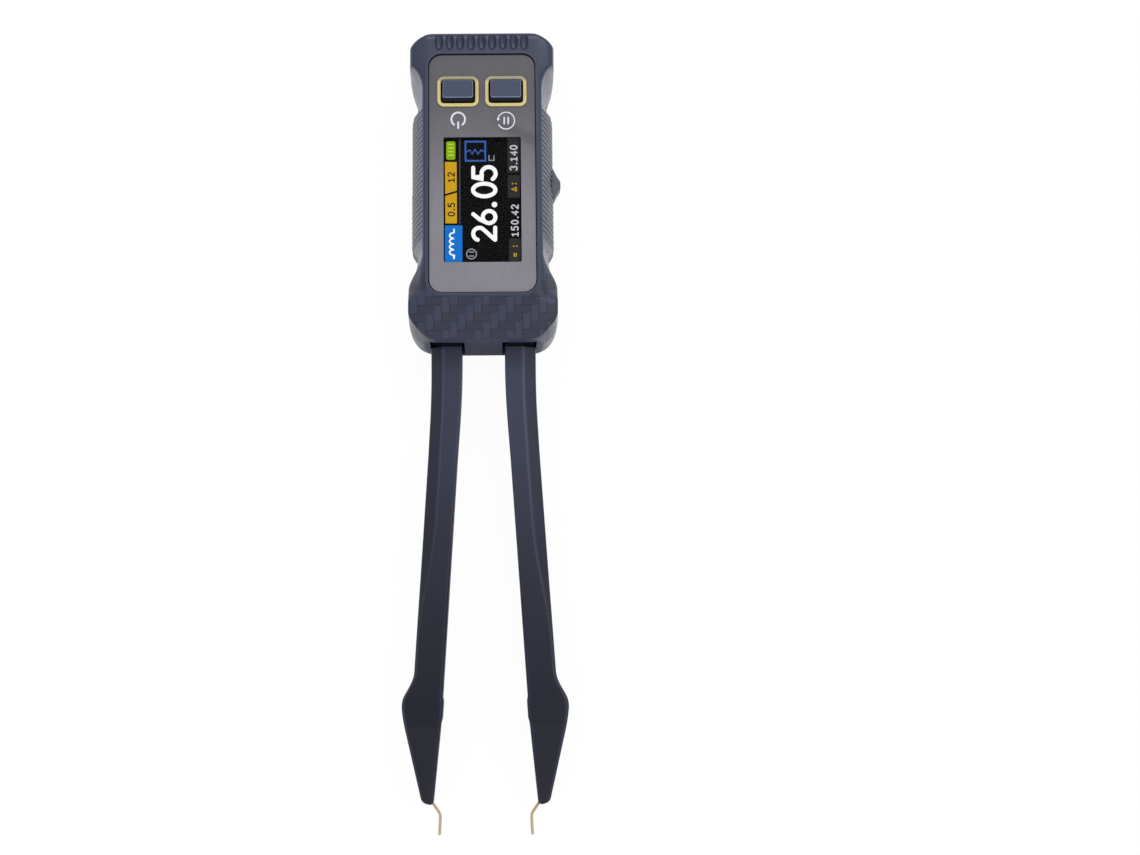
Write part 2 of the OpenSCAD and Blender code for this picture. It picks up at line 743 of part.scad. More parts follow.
module main_board() {
    w = board_w / 2;
    color(board_colour)
    difference() {
        translate([0, 0, board_z])
            linear_extrude(board_t)
                polygon([[-board_neck / 2, board_y0], [board_neck / 2, board_y0],
                    [board_neck / 2, arm_screw[1] + 3.2], [w, arm_screw[1] + 3.2],
                    [w, board_shoulder], [board_tab / 2, board_shoulder],
                    [board_tab / 2, board_y1], [-board_tab / 2, board_y1],
                    [-board_tab / 2, board_shoulder], [-w, board_shoulder],
                    [-w, arm_screw[1] + 3.2], [-board_neck / 2, arm_screw[1] + 3.2]]);
        for (p = board_screws_at)
            rod(p, small_screw_r + 0.1, board_z - over, board_top + over);
    }
}

module processor_chip() {
    color([0.1, 0.1, 0.11])
    translate([-1.5, -7, 0])
        slab(chip_side, chip_side, 0.2, board_top, board_top + chip_t);
}

module power_chips() {
    color([0.12, 0.12, 0.13]) {
        for (at = [[-6, 10.5], [-6, 6], [5.7, -12.5]])
            translate([at[0], at[1], 0])
                slab(small_chip_w, small_chip_len, 0.2, board_top, board_top + chip_t);
    }
}

// Chokes, capacitors and resistors in rows on the board
module board_parts() {
    color([0.72, 0.6, 0.42]) {
        for (k = [0:6])
            translate([jog_body_x - jog_body_d - (k % 2 == 0 ? 2.1 : 0.6), (k - 3.45) * part_pitch, 0])
                slab(part_w, part_len, 0.1, board_top, board_top + part_w * 0.6);
        for (k = [0:5])
            translate([(k - 3.4) * part_pitch, -1.4, 0])
                slab(part_len, part_w, 0.1, board_top, board_top + part_w * 0.6);
        translate([0, lcd_y1 - 5, 0])
            slab(coil_side, coil_side, 0.6, board_top, board_top + 1.8);
        translate([0, -18.7, 0])
            slab(2 * coil_side, coil_side - 0.6, 0.1, board_top, board_top + part_w * 0.7);
    }
}

module usb_socket() {
    color(steel_colour)
    translate([0, half - 0.05, board_top + usb_h / 2])
        rotate([90, 0, 0])
            difference() {
                slab(usb_w, usb_h, usb_h / 2 - 0.01, 0, usb_len);
                slab(usb_w - 0.5, usb_h - 0.5, usb_h / 2 - 0.26, -over, usb_len - 0.6);
            }
}

module usb_tongue() {
    color([0.15, 0.15, 0.16])
    translate([0, half - 0.05, board_top + usb_h / 2])
        rotate([90, 0, 0])
            slab(6.69, 0.7, 0.2, 1, usb_len - 0.6);
}

module battery_cell() {
    color([0.74, 0.75, 0.77])
    translate([0, battery_y, 0])
        slab(battery_w, battery_len, 1.2, battery_z, battery_z + battery_t);
}

module battery_pad() {
    color([0.9, 0.88, 0.8])
    translate([0, battery_y, 0])
        slab(battery_w - 4, battery_len - 6, 0.5, floor_t, battery_z);
}

module battery_leads() {
    y0 = battery_y + battery_len / 2;
    color([0.75, 0.12, 0.1])
    for (x = [-0.8, 0.8])
        translate([x, y0 + 2.7, board_z - 1.3])
            rotate([90, 0, 0])
                cylinder(r = 0.42, h = 2.7, $fn = 24);
}

module battery_plug() {
    y0 = battery_y + battery_len / 2 + 2.7;
    color([0.93, 0.91, 0.84])
    block(-2.5, 2.5, y0, y0 + 3.2, board_z - 2.6, board_z);
}

// ---- fasteners ----

module pan_screw(p, head_r, head_t, shank_r, z_head, length, up) {
    translate([p[0], p[1], z_head])
        mirror([0, 0, up ? 0 : 1]) {
            difference() {
                cylinder(r = head_r, h = head_t);
                for (a = [0, 90])
                    rotate(a)
                        translate([-head_r * 0.6, -0.16, -over])
                            cube([head_r * 1.2, 0.32, over + head_t * 0.45]);
            }
            translate([0, 0, head_t * 0.9])
                cylinder(r = shank_r, h = length + head_t * 0.1);
        }
}

module case_screws() {
    color(steel_colour)
    for (p = case_screws_at)
        pan_screw(p, case_head_r, case_head_t, case_screw_r, head_sink - case_head_t,
            split_z + case_thread - head_sink, true);
}

module board_screws() {
    color(steel_colour)
    for (p = board_screws_at)
        pan_screw(p, small_head_r, small_head_t, small_screw_r, board_top + small_head_t,
            board_t + board_thread, false);
}

// ---- arms ----

// Middle line of the right arm: straight, then bent outward
function arm_mid(y) =
    let (d = max(0, bend_y - y), s = tan(splay))
    arm_x + (d > bend_len ? s * (d - bend_len / 2) : s * d * d / (2 * bend_len));

function arm_half(y) = mix(arm_w, arm_slim_w, clamp01((bend_y - y) / bend_len / 1.5)) / 2;

function arm_in(y) =
    let (tip = clamp01((bulge_y - 2 - y) / 15.8), nub = clamp01(1.4 - abs(y - bulge_y) / 1.8))
    arm_mid(y) - arm_half(y) + 0.55 * tip - 0.2 * min(1, nub * 2);

function arm_out(y) =
    let (side = arm_mid(y) + arm_half(y),
         swell = side + bulge_out * ease((bulge_y + 7.3 - y) / 7.4),
         taper = arm_mid(bulge_y) + arm_half(bulge_y) + bulge_out - 0.25 + 0.229 * (y - bulge_y),
         nose = 0.8 * pow(clamp01((arm_y1 + 1.1 - y) / 1.1), 2))
    soft_min(swell, taper, 1.4) - nose;

function arm_crown(y) = arm_top - 1.3 * clamp01((bulge_y - 3 - y) / 15);
function arm_keel(y) = arm_bottom + 1.1 * clamp01((bulge_y - 3 - y) / 15);
// Width of the slanted facet, which runs out before the bulge
function facet(y) = mix(facet_w, 0.35, ease((bulge_y + 38 - y) / 26));

arm_stations = concat(
    span(arm_y1, arm_y1 + 1.2, 4), span(arm_y1 + 1.2, bulge_y - 2.8, 5),
    span(bulge_y - 2.8, bulge_y + 2.6, 9), span(bulge_y + 2.6, bulge_y + 8, 5),
    span(bulge_y + 8, bend_y - bend_len, 10), span(bend_y - bend_len, bend_y, 5),
    span(bend_y, arm_y0, 2), [arm_y0]);

// Upper half of an arm, as rings that run down the inner side and up the outer side
function cover_ring(y) =
    let (a = arm_in(y), b = arm_out(y), t = arm_crown(y), f = facet(y), m = arm_z + 0.5 * (t - arm_z))
    [[b - f, y, t], [b - 0.12, y, t - 0.5 * f - 0.1], [b, y, t - 0.5 * f - 0.3], [b, y, arm_z],
     [a, y, arm_z], [a, y, m], [a, y, t - 0.3], [a + 0.3, y, t]];

function base_ring(y) =
    let (a = arm_in(y), b = arm_out(y), k = arm_keel(y))
    [[b, y, arm_z], [b, y, k + 0.8], [b - 0.8, y, k], [a + 0.6, y, k], [a, y, k + 0.6], [a, y, arm_z]];

function strip_x(y) = arm_mid(y) - strip_off;
// Outline of a band along the strip's line
function band(y0, y1, w, off = 0) =
    let (straight = concat(span(y0, bend_y, 1), span(bend_y, bend_y - bend_len, 5)),
         at = concat(straight, span(bend_y - bend_len, y1, 2), [y1]))
    concat([for (y = at) [strip_x(y) + off + w / 2, y]],
        [for (k = [len(at) - 1:-1:0]) [strip_x(at[k]) + off - w / 2, at[k]]]);

module arm_channel(w, off, z0, z1) {
    n = 6;
    at = concat(span(core_y0, core_y1, n), [core_y1]);
    translate([0, 0, z0])
        linear_extrude(z1 - z0)
            polygon(concat([for (y = at) [arm_mid(y) + off + w / 2, y]],
                [for (k = [n:-1:0]) [arm_mid(at[k]) + off - w / 2, at[k]]]));
}

root_screw = [arm_x + 1.5, bend_y - 3.4];
bulge_screw = [arm_mid(bulge_y) + 1.9, bulge_y];

// A round bar between two points in the plane of the arms' split
module link(a, b, r) {
    d = b - a;
    translate([a[0], a[1], arm_z])
        rotate([0, 90, atan2(d[1], d[0])])
            cylinder(r = r, h = norm(d));
}

// A square channel between two points in the plane of the arms' split
module rail(a, b, w) {
    d = b - a;
    translate([a[0], a[1], arm_z])
        rotate([0, 0, atan2(d[1], d[0])])
            translate([0, -w / 2, -w / 2])
                cube([norm(d), w, w]);
}

// A bar of round wire along points in the plane of the arms' split
module wire(at, r, k = 12) {
    n = len(at);
    sweep([for (i = [0:n - 1])
        let (d = at[min(i + 1, n - 1)] - at[max(i - 1, 0)], t = d / norm(d))
        [for (j = [0:k - 1]) let (q = 360 * (j + 0.5) / k)
            [at[i][0] - t[1] * r * cos(q), at[i][1] + t[0] * r * cos(q), arm_z + r * sin(q)]]]);
}

// Places along the contact pin's root, measured from its heel
function along(t) = heel + (contact_top - heel) * t / norm(contact_top - heel);
// The bend between two straight runs a-b and b-c, as a few points on a curve
function bend(a, b, c, reach, n = 4) =
    let (p = b + (a - b) * reach / norm(a - b), q = b + (c - b) * reach / norm(c - b))
    [for (i = [0:n]) let (t = i / n) (1 - t) * (1 - t) * p + 2 * t * (1 - t) * b + t * t * q];

module contact_pocket() {
    rail(along(1), along(1 + socket_len), 2 * socket_r);
    rail(elbow, heel + (heel - elbow) * 0.15, 2 * contact_r + 0.2);
    rail(heel - (along(1) - heel) * 0.3, along(socket_len), 2 * contact_r + 0.2);
}

module arm_cover(s) {
    color(shell_colour)
    on_side(s)
        difference() {
            union() {
                loft([for (y = arm_stations) cover_ring(y)]);
                rod([arm_x, pivot_y], eye_r, arm_z, arm_top);
            }
            rod([arm_x, pivot_y], pivot_r + run, arm_z - over, arm_top + over);
            block(arm_x - 0.75, arm_x + 0.75, pivot_y - leg_out - wire_r - 0.1,
                pivot_y - leg_out + wire_r + 0.1, arm_top - 1, arm_top + over);
            arm_channel(2.8, 0, arm_z - over, arm_top - 1.4);
            for (p = [root_screw, bulge_screw])
                rod(p, small_screw_r - bite, arm_z - over, arm_top - 1.3);
            contact_pocket();
        }
}

module arm_base(s) {
    color(shell_colour)
    on_side(s)
        difference() {
            union() {
                loft([for (y = arm_stations) base_ring(y)]);
                rod([arm_x, pivot_y], eye_r, arm_bottom, arm_z);
            }
            rod([arm_x, pivot_y], pivot_r + run, arm_bottom - over, arm_z + over);
            translate([0, 0, strip_z])
                linear_extrude(strip_t + over)
                    polygon(band(arm_y0 + 1, strip_y1 - snug, strip_w + 2 * snug));
            rod([arm_x, pivot_y], terminal_r + snug, strip_z, arm_z + over);
            arm_channel(1.4, -strip_off, arm_bottom + 1.4, arm_z);
            for (p = [root_screw, bulge_screw]) {
                rod(p, small_screw_r + 0.1, arm_bottom - over, arm_z + over);
                rod(p, small_head_r + 0.1, arm_bottom - over, arm_bottom + small_head_t + 0.3);
            }
            contact_pocket();
        }
}

module contact_strip(s) {
    color([0.8, 0.65, 0.3])
    on_side(s)
        difference() {
            union() {
                translate([0, 0, strip_z])
                    linear_extrude(strip_t)
                        polygon(band(arm_y0 + 1, strip_y1, strip_w));
                rod([arm_x, pivot_y], terminal_r, strip_z, arm_z);
            }
            rod([arm_x, pivot_y], pivot_r + run, strip_z - over, arm_z + over);
            link(along(1), along(1 + socket_len), socket_r);
        }
}

module tip_socket(s) {
    color([0.82, 0.68, 0.32])
    on_side(s)
        difference() {
            link(along(1), along(1 + socket_len), socket_r);
            link(heel, contact_top, contact_r);
        }
}

module contact_pin(s) {
    bend_r = 0.7;
    inner = contact_r * 0.97;
    color(gold_colour)
    on_side(s) {
        link([tip_x, tip_y], mix([tip_x, tip_y], elbow, 0.86), contact_r);
        wire(concat([mix([tip_x, tip_y], elbow, 0.7)], bend([tip_x, tip_y], elbow, heel, bend_r),
            bend(elbow, heel, contact_top, bend_r), [along(2)]), inner);
        link(along(1.2), contact_top, contact_r);
    }
}

module arm_screws(s) {
    color(steel_colour)
    on_side(s)
        for (p = [root_screw, bulge_screw])
            pan_screw(p, small_head_r, small_head_t, small_screw_r, arm_bottom + 0.3,
                arm_t / 2 + 0.8, true);
}

module pivot_pin(s) {
    color(steel_colour)
    rod([s * arm_x, pivot_y], pivot_r, 0.7, pivot_top);
}

// Helix of round wire with its ends in line with the two legs
module coil() {
    n = 16;
    k = 8;
    sweep([for (i = [0:n * coil_turns])
        let (a = 360 * i / n - 90, z = coil_pitch * i / n)
        [for (j = [0:k - 1]) let (q = -360 * j / k, r = coil_r + wire_r * cos(q))
            [r * cos(a), r * sin(a), z + wire_r * sin(q)]]]);
}

module arm_spring(s) {
    color(steel_colour)
    on_side(s)
        translate([arm_x, pivot_y, coil_z]) {
            coil();
            translate([0, -coil_r, 0])
                rotate([90, 0, 0])
                    cylinder(r = wire_r, h = leg_out - coil_r, $fn = 24);
            translate([0, -leg_out, arm_top - 0.7 - coil_z])
                cylinder(r = wire_r, h = coil_z - arm_top + 0.7, $fn = 24);
            translate([0, -leg_out, 0])
                sphere(r = wire_r, $fn = 24);
            translate([coil_r, 0, coil_turns * coil_pitch])
                cylinder(r = wire_r, h = boss_z + 0.5 - coil_z - coil_turns * coil_pitch, $fn = 24);
        }
}

// Brass tab from the board to a ring that the pivot pin passes through
module pivot_terminal(s) {
    y0 = board_y0 - terminal_t;
    color([0.8, 0.65, 0.3])
    on_side(s)
        difference() {
            union() {
                block(4.6, board_neck / 2, y0, board_y0 + 2.4, board_top, board_top + terminal_t);
                block(4.6, board_neck / 2, y0, board_y0, board_top, terminal_z + terminal_t);
                block(arm_x - 1.4, board_neck / 2, pivot_y, board_y0, terminal_z, terminal_z + terminal_t);
                rod([arm_x, pivot_y], terminal_r, terminal_z, terminal_z + terminal_t);
            }
            rod([arm_x, pivot_y], pivot_r, terminal_z - over, terminal_z + over);
        }
}

top_shell();
bottom_shell();
front_panel();
screen_window();
lcd_glass();
lcd_backlight();
lcd_flex();
bezel(-1);  // bezel_power
bezel(1);  // bezel_hold
main_board();
processor_chip();
power_chips();
board_parts();
push_switch(-1);  // switch_power
push_switch(1);  // switch_hold
jog_switch_body();
usb_socket();
usb_tongue();
battery_cell();
battery_pad();
battery_leads();
battery_plug();
case_screws();
board_screws();
pivot_pin(-1);  // pivot_pin_left
pivot_pin(1);  // pivot_pin_right
arm_spring(-1);  // arm_spring_left
arm_spring(1);  // arm_spring_right
pivot_terminal(-1);  // pivot_terminal_left
pivot_terminal(1);  // pivot_terminal_right
button(-1);  // button_power
button(1);  // button_hold
plunger(-1);  // plunger_power
plunger(1);  // plunger_hold
jog_slider();
jog_cap();
arm_cover(-1);  // arm_cover_left
arm_cover(1);  // arm_cover_right
arm_base(-1);  // arm_base_left
arm_base(1);  // arm_base_right
contact_strip(-1);  // contact_strip_left
contact_strip(1);  // contact_strip_right
tip_socket(-1);  // tip_socket_left
tip_socket(1);  // tip_socket_right
contact_pin(-1);  // contact_pin_left
contact_pin(1);  // contact_pin_right
arm_screws(-1);  // arm_screws_left
arm_screws(1);  // arm_screws_right
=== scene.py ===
"""Looks of the tweezer-type component tester. Sizes are in millimetres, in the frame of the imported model:
+Z up through the screen, +Y towards the head end, origin in the middle of the case's flat underside."""

import math

import bmesh
import bpy
import numpy as np
from mathutils import Matrix, Vector


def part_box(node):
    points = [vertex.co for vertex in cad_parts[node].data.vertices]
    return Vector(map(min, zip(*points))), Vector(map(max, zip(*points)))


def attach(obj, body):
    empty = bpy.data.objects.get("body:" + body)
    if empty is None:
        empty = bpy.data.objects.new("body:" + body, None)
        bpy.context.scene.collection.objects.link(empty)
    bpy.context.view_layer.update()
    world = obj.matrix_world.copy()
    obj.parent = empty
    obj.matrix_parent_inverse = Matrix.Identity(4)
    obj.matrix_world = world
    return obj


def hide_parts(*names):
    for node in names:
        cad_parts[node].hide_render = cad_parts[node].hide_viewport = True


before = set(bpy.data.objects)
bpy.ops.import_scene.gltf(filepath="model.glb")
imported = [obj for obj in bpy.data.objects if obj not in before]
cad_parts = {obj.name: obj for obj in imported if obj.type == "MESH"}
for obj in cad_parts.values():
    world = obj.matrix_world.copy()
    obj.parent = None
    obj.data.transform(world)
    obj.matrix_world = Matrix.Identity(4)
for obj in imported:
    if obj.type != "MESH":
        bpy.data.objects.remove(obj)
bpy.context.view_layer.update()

MM = 0.001
IMAGE_W, IMAGE_H = 1140, 855

# ---- camera: the photograph's viewpoint ----
FOCAL_PX = 1700
OPTICAL_CENTRE_PX = 497          # the picture is cropped off centre
CAMERA_AT = Vector((2.57, -96.51, 338.85))
CAMERA_TILT = 8.5                # degrees off straight down, towards the head end
CAMERA_ROLL = -0.36

# ---- case sizes ----
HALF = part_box("top_shell")[1].y / MM
CASE_H = 17.0
PANEL_W, PANEL_R, FIT = 20.8, 2.4, 0.2
PANEL_Y0, PANEL_Y1 = (c.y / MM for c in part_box("front_panel"))
PANEL_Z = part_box("front_panel")[1].z / MM
PANEL_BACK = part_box("front_panel")[0].z / MM
SPLIT_Z, WALL, DECK_T, FLOOR_T = 7.0, 1.6, 2.6, 1.6
DECK_X = PANEL_W / 2 + 0.95
SIDE_X = DECK_X + 0.6
GRIP_W, WAIST_W, HEAD_EAR_W, ARM_EAR_W, END_W = 28.3, 26.5, 29.1, 29.5, 21.6
WIDE_Z, LOW_Z, SHOULDER_Z, EAR_DIP = 10.4, 4.0, CASE_H - 0.7, 2.4
HEAD_EAR_Y, HEAD_ARC_Y, HEAD_WAIST_Y, HEAD_GRIP_Y = HALF - 7.1, HALF - 11.1, HALF - 12.9, HALF - 17.6
ARM_GRIP_Y, ARM_WAIST_Y, ARM_NECK_Y = -HALF + 19.5, -HALF + 18, -HALF + 14.3
ARM_FLARE_Y, ARM_EAR_Y = -HALF + 17, -HALF + 10.3
HEAD_CHAMFER, ARM_CHAMFER = 3.1, 5.5
DECK_BEND_Y, DECK_FALL, HEAD_ROUND = -HALF + 8.5, 1.4, 1.6
LIP_BACK, LIP_LEN = 0.4, 7.0

# ---- other sizes of the case ----
END_R = 0.5                      # rounding of the case's two ends
RIM_RISE = 0.09                  # the raised rim round the panel
CORNER_OUT = 0.8                 # the corner chamfers start this far outside the ears
RIB_Y, RIB_PITCH, RIB_COUNT, RIB_SLANT, RIB_DEPTH, RIB_LOW_Z = 3.35, 1.02, 26, 10, 0.34, 2.0
PAD_HEAD_Y, PAD_STEP, PAD_FADE = 15.3, 0.45, 5.0   # the ribbed pad stands over the scoops
SOFT_EDGE = 1.3                  # rounding of the deck's edge over the ears
PANEL_LEN, PANEL_MID = PANEL_Y1 - PANEL_Y0, (PANEL_Y0 + PANEL_Y1) / 2
HEAD_SCREW, ARM_SCREW = (10.2, HALF - 4.6), (9.9, HALF * -1 + 10.3)
FLUTE_PITCH, FLUTE_Y, FLUTE_LEN = 2.11, HALF - 2.3, 3.4
BOARD_W, BOARD_Z, BOARD_SCREW_Y = 22.0, 6.0, (20.9, -15.2)
JOG_BODY_X, JOG_PIVOT_X = 11.0, 12.7
FLANGE_Z = CASE_H - DECK_T - 0.7
SCREEN_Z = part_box("lcd_glass")[1].z / MM - 0.04

# ---- arm sizes ----
ARM_GAP, ARM_W, ARM_SLIM_W = 8.48, 6.1, 5.7
ARM_BOTTOM, ARM_TOP = 2.1, 10.0
ARM_Z = (ARM_BOTTOM + ARM_TOP) / 2
ARM_X = (ARM_GAP + ARM_W) / 2
PIVOT_Y = -HALF + 4.4
ARM_Y0, ARM_Y1 = PIVOT_Y - 1.3, -HALF - 88.5
EYE_R = ARM_W / 2 - 0.15
BEND_Y, BEND_LEN = -HALF - 3, 12
BULGE_Y, BULGE_OUT, SPLAY, FACET_W = -HALF - 70.7, 2.4, 3.65, 2.7
TIP_BEVEL, TIP_FALL = 0.5, 1.3   # edge of the tips, and fall of the arms' tops towards them
ROOT_STEP = 1.6                  # step down of the arms' tops inside the case
STRIP_Z, STRIP_Y1 = ARM_Z - 0.6, ARM_Y1 + 10.2
BOSS_Z = 12.965
CONTACT_R, TIP_X, TIP_Y, TIP_LEAN = 0.275, 8.9, ARM_Y1 - 5.8, math.radians(3)
ELBOW = np.array([TIP_X - 3.9 * math.sin(TIP_LEAN), TIP_Y + 3.9 * math.cos(TIP_LEAN)])
HEEL = ELBOW + np.array([2.2, 3.1])
CONTACT_TOP = HEEL + np.array([-0.3, 6.9])

FLOOR_GLOSS, FLOOR_DIM = 1.5, 0.4  # brightness of the paper in reflections, beside the case and far out
FLOOR_NEAR, FLOOR_FAR = 46, 85
FLOOR_MID_Y, FLOOR_STRETCH = 2, 1.6   # where the paper is brightest, and how much faster it dims lengthwise

WEAVE_CELL, WEAVE_X, WEAVE_Y, THREAD = 1.57, 4.95, -22.75, 0.37   # twill: cell, its origin, width of a thread
DOT_ROW = 0.104                  # distance between the screen's rows of dots

# ---- colours, from 0 to 255 ----
CASE_TONE, WEFT_TONE = (45, 51, 74), (42, 46, 65)
# The arms' second colour is painted shade at their tips
ARM_TONE, ARM_TIP_SHADED_TONE = (42, 46, 64), (15, 18, 33)
# The panel's fade is a painted reflection and its band a painted shadow
PANEL_TONE, PANEL_REFLECTION_FADE, PANEL_SHADE_BAND = (133, 131, 138), (0.47, 1.0), 13.7
# The bezel's second colour is painted shade on its side towards the head end
BUTTON_TONE, BEZEL_TONE, BEZEL_SHADED_TONE = (58, 65, 89), (192, 179, 114), (150, 145, 112)
JOG_TONE, PIN_TONE, INK_TONE = (88, 88, 98), (196, 172, 140), (196, 197, 208)


# ---- small helpers ----

def clamp01(t):
    return np.clip(t, 0.0, 1.0)


def ease(t):
    return (1 - np.cos(np.pi * clamp01(t))) / 2


def glide(y, a, b, va, vb):
    """Smooth change from va at a to vb at b."""
    return va + (vb - va) * ease((y - a) / (b - a))


def mix(a, b, t):
    return a + (b - a) * t


def link(obj):
    bpy.context.scene.collection.objects.link(obj)
    return obj


def mesh_object(name, points, faces):
    """A new object from points in millimetres."""
    data = bpy.data.meshes.new(name)
    data.from_pydata((np.asarray(points, dtype=float) * MM).tolist(), [], [list(map(int, f)) for f in faces])
    data.update()
    return link(bpy.data.objects.new(name, data))


def smooth(obj, angle=40):
    """Smooth shading with crisp corners, in which the wide flat faces stay flat."""
    obj.data.shade_smooth()
    obj.data.set_sharp_from_angle(angle=math.radians(angle))
    even = obj.modifiers.new("even", "WEIGHTED_NORMAL")
    even.keep_sharp = True
    apply_modifiers(obj)


def apply_modifiers(obj):
    graph = bpy.context.evaluated_depsgraph_get()
    data = bpy.data.meshes.new_from_object(obj.evaluated_get(graph))
    old = obj.data
    obj.modifiers.clear()
    obj.data = data
    data.name = obj.name
    bpy.data.meshes.remove(old)


def carve(obj, cutters, operation="DIFFERENCE"):
    """Cuts closed meshes out of a closed mesh, and removes them."""
    for cutter in cutters:
        cut = obj.modifiers.new("cut", "BOOLEAN")
        cut.solver = "MANIFOLD"
        cut.operation = operation
        cut.object = cutter
    apply_modifiers(obj)
    for cutter in cutters:
        bpy.data.objects.remove(cutter)


def loft(name, rings):
    """A closed skin over rings that run down one side and up the other, with ladders across the ends."""
    rings = np.asarray(rings)
    n, m = rings.shape[:2]
    i, j = np.meshgrid(np.arange(n - 1), np.arange(m), indexing="ij")
    k = (j + 1) % m
    walls = np.stack([i * m + j, (i + 1) * m + j, (i + 1) * m + k, i * m + k], -1).reshape(-1, 4)
    ladder = np.array([[q, q + 1, m - 2 - q, m - 1 - q] for q in range(m // 2 - 1)])
    far = ladder[:, ::-1] + (n - 1) * m
    return mesh_object(name, rings.reshape(-1, 3), np.concatenate([walls, ladder, far]))


def round_outline(w, l, r, n=8):
    out = []
    for q in range(4):
        cx, cy = (1 if q in (0, 3) else -1) * (w / 2 - r), (1 if q < 2 else -1) * (l / 2 - r)
        out += [(cx + r * math.cos(math.pi / 2 * (q + i / n)), cy + r * math.sin(math.pi / 2 * (q + i / n)))
                for i in range(n + 1)]
    return out


def prism(name, outline, z0, z1, centre=(0, 0)):
    n = len(outline)
    points = [(x + centre[0], y + centre[1], z) for z in (z0, z1) for x, y in outline]
    sides = [(i, (i + 1) % n, n + (i + 1) % n, n + i) for i in range(n)]
    return mesh_object(name, points, sides + [tuple(range(n))[::-1], tuple(range(n, 2 * n))])


def block(name, x0, x1, y0, y1, z0, z1):
    return prism(name, [(x0, y0), (x1, y0), (x1, y1), (x0, y1)], z0, z1)


def rod(name, x, y, r, z0, z1, n=48):
    turn = [2 * math.pi * i / n for i in range(n)]
    return prism(name, [(x + r * math.cos(a), y + r * math.sin(a)) for a in turn], z0, z1)


# ---- shader nodes ----

def plug(tree, node, inputs):
    """Sets a node's inputs, by name or in order. Values may be numbers, colours or outputs of other nodes."""
    for key, value in inputs.items() if isinstance(inputs, dict) else enumerate(inputs):
        value = getattr(value, "socket", value)
        if isinstance(value, bpy.types.NodeSocket):
            tree.links.new(value, node.inputs[key])
        else:
            node.inputs[key].default_value = value


def add_node(tree, kind, inputs=(), **settings):
    node = tree.nodes.new("ShaderNode" + kind)
    for key, value in settings.items():
        setattr(node, key, value)
    plug(tree, node, inputs)
    return node


# ---- camera, light and floor ----

def camera_axes():
    tilt, roll = math.radians(CAMERA_TILT), math.radians(CAMERA_ROLL)
    look = Vector((0, math.sin(tilt), -math.cos(tilt)))
    up = Vector((0, math.cos(tilt), math.sin(tilt)))
    right = Vector((math.cos(roll), 0, 0)) + up * math.sin(roll)
    return right, right.cross(look).normalized(), look


def add_camera():
    data = bpy.data.cameras.new("camera")
    data.sensor_width = 36
    data.lens = FOCAL_PX / IMAGE_W * data.sensor_width
    data.shift_x = (IMAGE_W / 2 - OPTICAL_CENTRE_PX) / IMAGE_W
    data.clip_start, data.clip_end = 0.01, 10
    camera = link(bpy.data.objects.new("camera", data))
    right, up, look = camera_axes()
    turn = Matrix((right, up, -look)).transposed().to_4x4()
    camera.matrix_world = Matrix.Translation(CAMERA_AT * MM) @ turn
    bpy.context.scene.camera = camera


def area_light(name, at, aim, size, power):
    data = bpy.data.lights.new(name, "AREA")
    data.shape = "RECTANGLE"
    data.size, data.size_y = size
    data.energy = power
    lamp = link(bpy.data.objects.new(name, data))
    lamp.location = at
    lamp.rotation_mode = "QUATERNION"
    lamp.rotation_quaternion = (Vector(aim) - Vector(at)).to_track_quat("-Z", "Y")


def add_world(level, glossy_level):
    """Even soft light, dimmer in reflections. The camera sees plain white."""
    world = bpy.data.worlds.new("studio")
    bpy.context.scene.world = world
    world.use_nodes = True
    tree = world.node_tree
    rays = add_node(tree, "LightPath").outputs
    dim = add_node(tree, "Math", (rays["Is Glossy Ray"], glossy_level - level, level),
                   operation="MULTIPLY_ADD")
    full = add_node(tree, "Math", (rays["Is Camera Ray"], dim.outputs[0]), operation="MAXIMUM")
    plug(tree, tree.nodes["Background"], {"Color": (1, 1, 1, 1), "Strength": full.outputs[0]})


def add_floor():
    """White paper. The camera sees it evenly lit, with a trace of the shadow. Other rays meet it as it is:
    in reflections it is bright beside the case and falls off towards the arms and further out."""
    side = 1500
    floor = mesh_object("floor", [(-side, -side, 0), (side, -side, 0), (side, side, 0), (-side, side, 0)],
                        [(0, 1, 2, 3)])
    floor.location.z = -0.0002
    paper = bpy.data.materials.new("floor_white")
    paper.use_nodes = True
    tree = paper.node_tree
    tree.nodes.clear()
    rays = add_node(tree, "LightPath").outputs
    at = add_node(tree, "TexCoord").outputs["Object"]
    stretch, middle = (1, FLOOR_STRETCH, 0), (0, -FLOOR_STRETCH * FLOOR_MID_Y * MM, 0)
    away = add_node(tree, "VectorMath", (at, stretch, middle), operation="MULTIPLY_ADD")
    far = add_node(tree, "VectorMath", (away.outputs[0],), operation="LENGTH").outputs["Value"]
    fall = add_node(tree, "MapRange", (far, FLOOR_NEAR * MM, FLOOR_FAR * MM, FLOOR_GLOSS, FLOOR_DIM),
                    interpolation_type="SMOOTHSTEP")
    white = add_node(tree, "Mix", {0: rays["Is Glossy Ray"], 7: fall.outputs[0]}, data_type="RGBA")
    white.inputs[6].default_value = (0.9, 0.9, 0.9, 1)
    matte = add_node(tree, "BsdfDiffuse", {"Color": white.outputs[2]})
    seen = add_node(tree, "Math", (rays["Is Camera Ray"], rays["Is Transmission Ray"]), operation="MAXIMUM")
    share = add_node(tree, "Math", (seen.outputs[0], 0.95), operation="MULTIPLY")
    glow = add_node(tree, "Emission")
    blend = add_node(tree, "MixShader", (share.outputs[0], matte.outputs[0], glow.outputs[0]))
    add_node(tree, "OutputMaterial", {"Surface": blend.outputs[0]})
    floor.data.materials.append(paper)


# ---- outline of the case ----

def deck_z(y):
    d = y - (HALF - HEAD_ROUND)
    fall = CASE_H - DECK_FALL * (DECK_BEND_Y - y) / (DECK_BEND_Y + HALF)
    turn = CASE_H - HEAD_ROUND + np.sqrt(np.maximum(0, HEAD_ROUND ** 2 - d * d))
    return np.where(y < DECK_BEND_Y, fall, np.where(d > 0, turn, CASE_H))


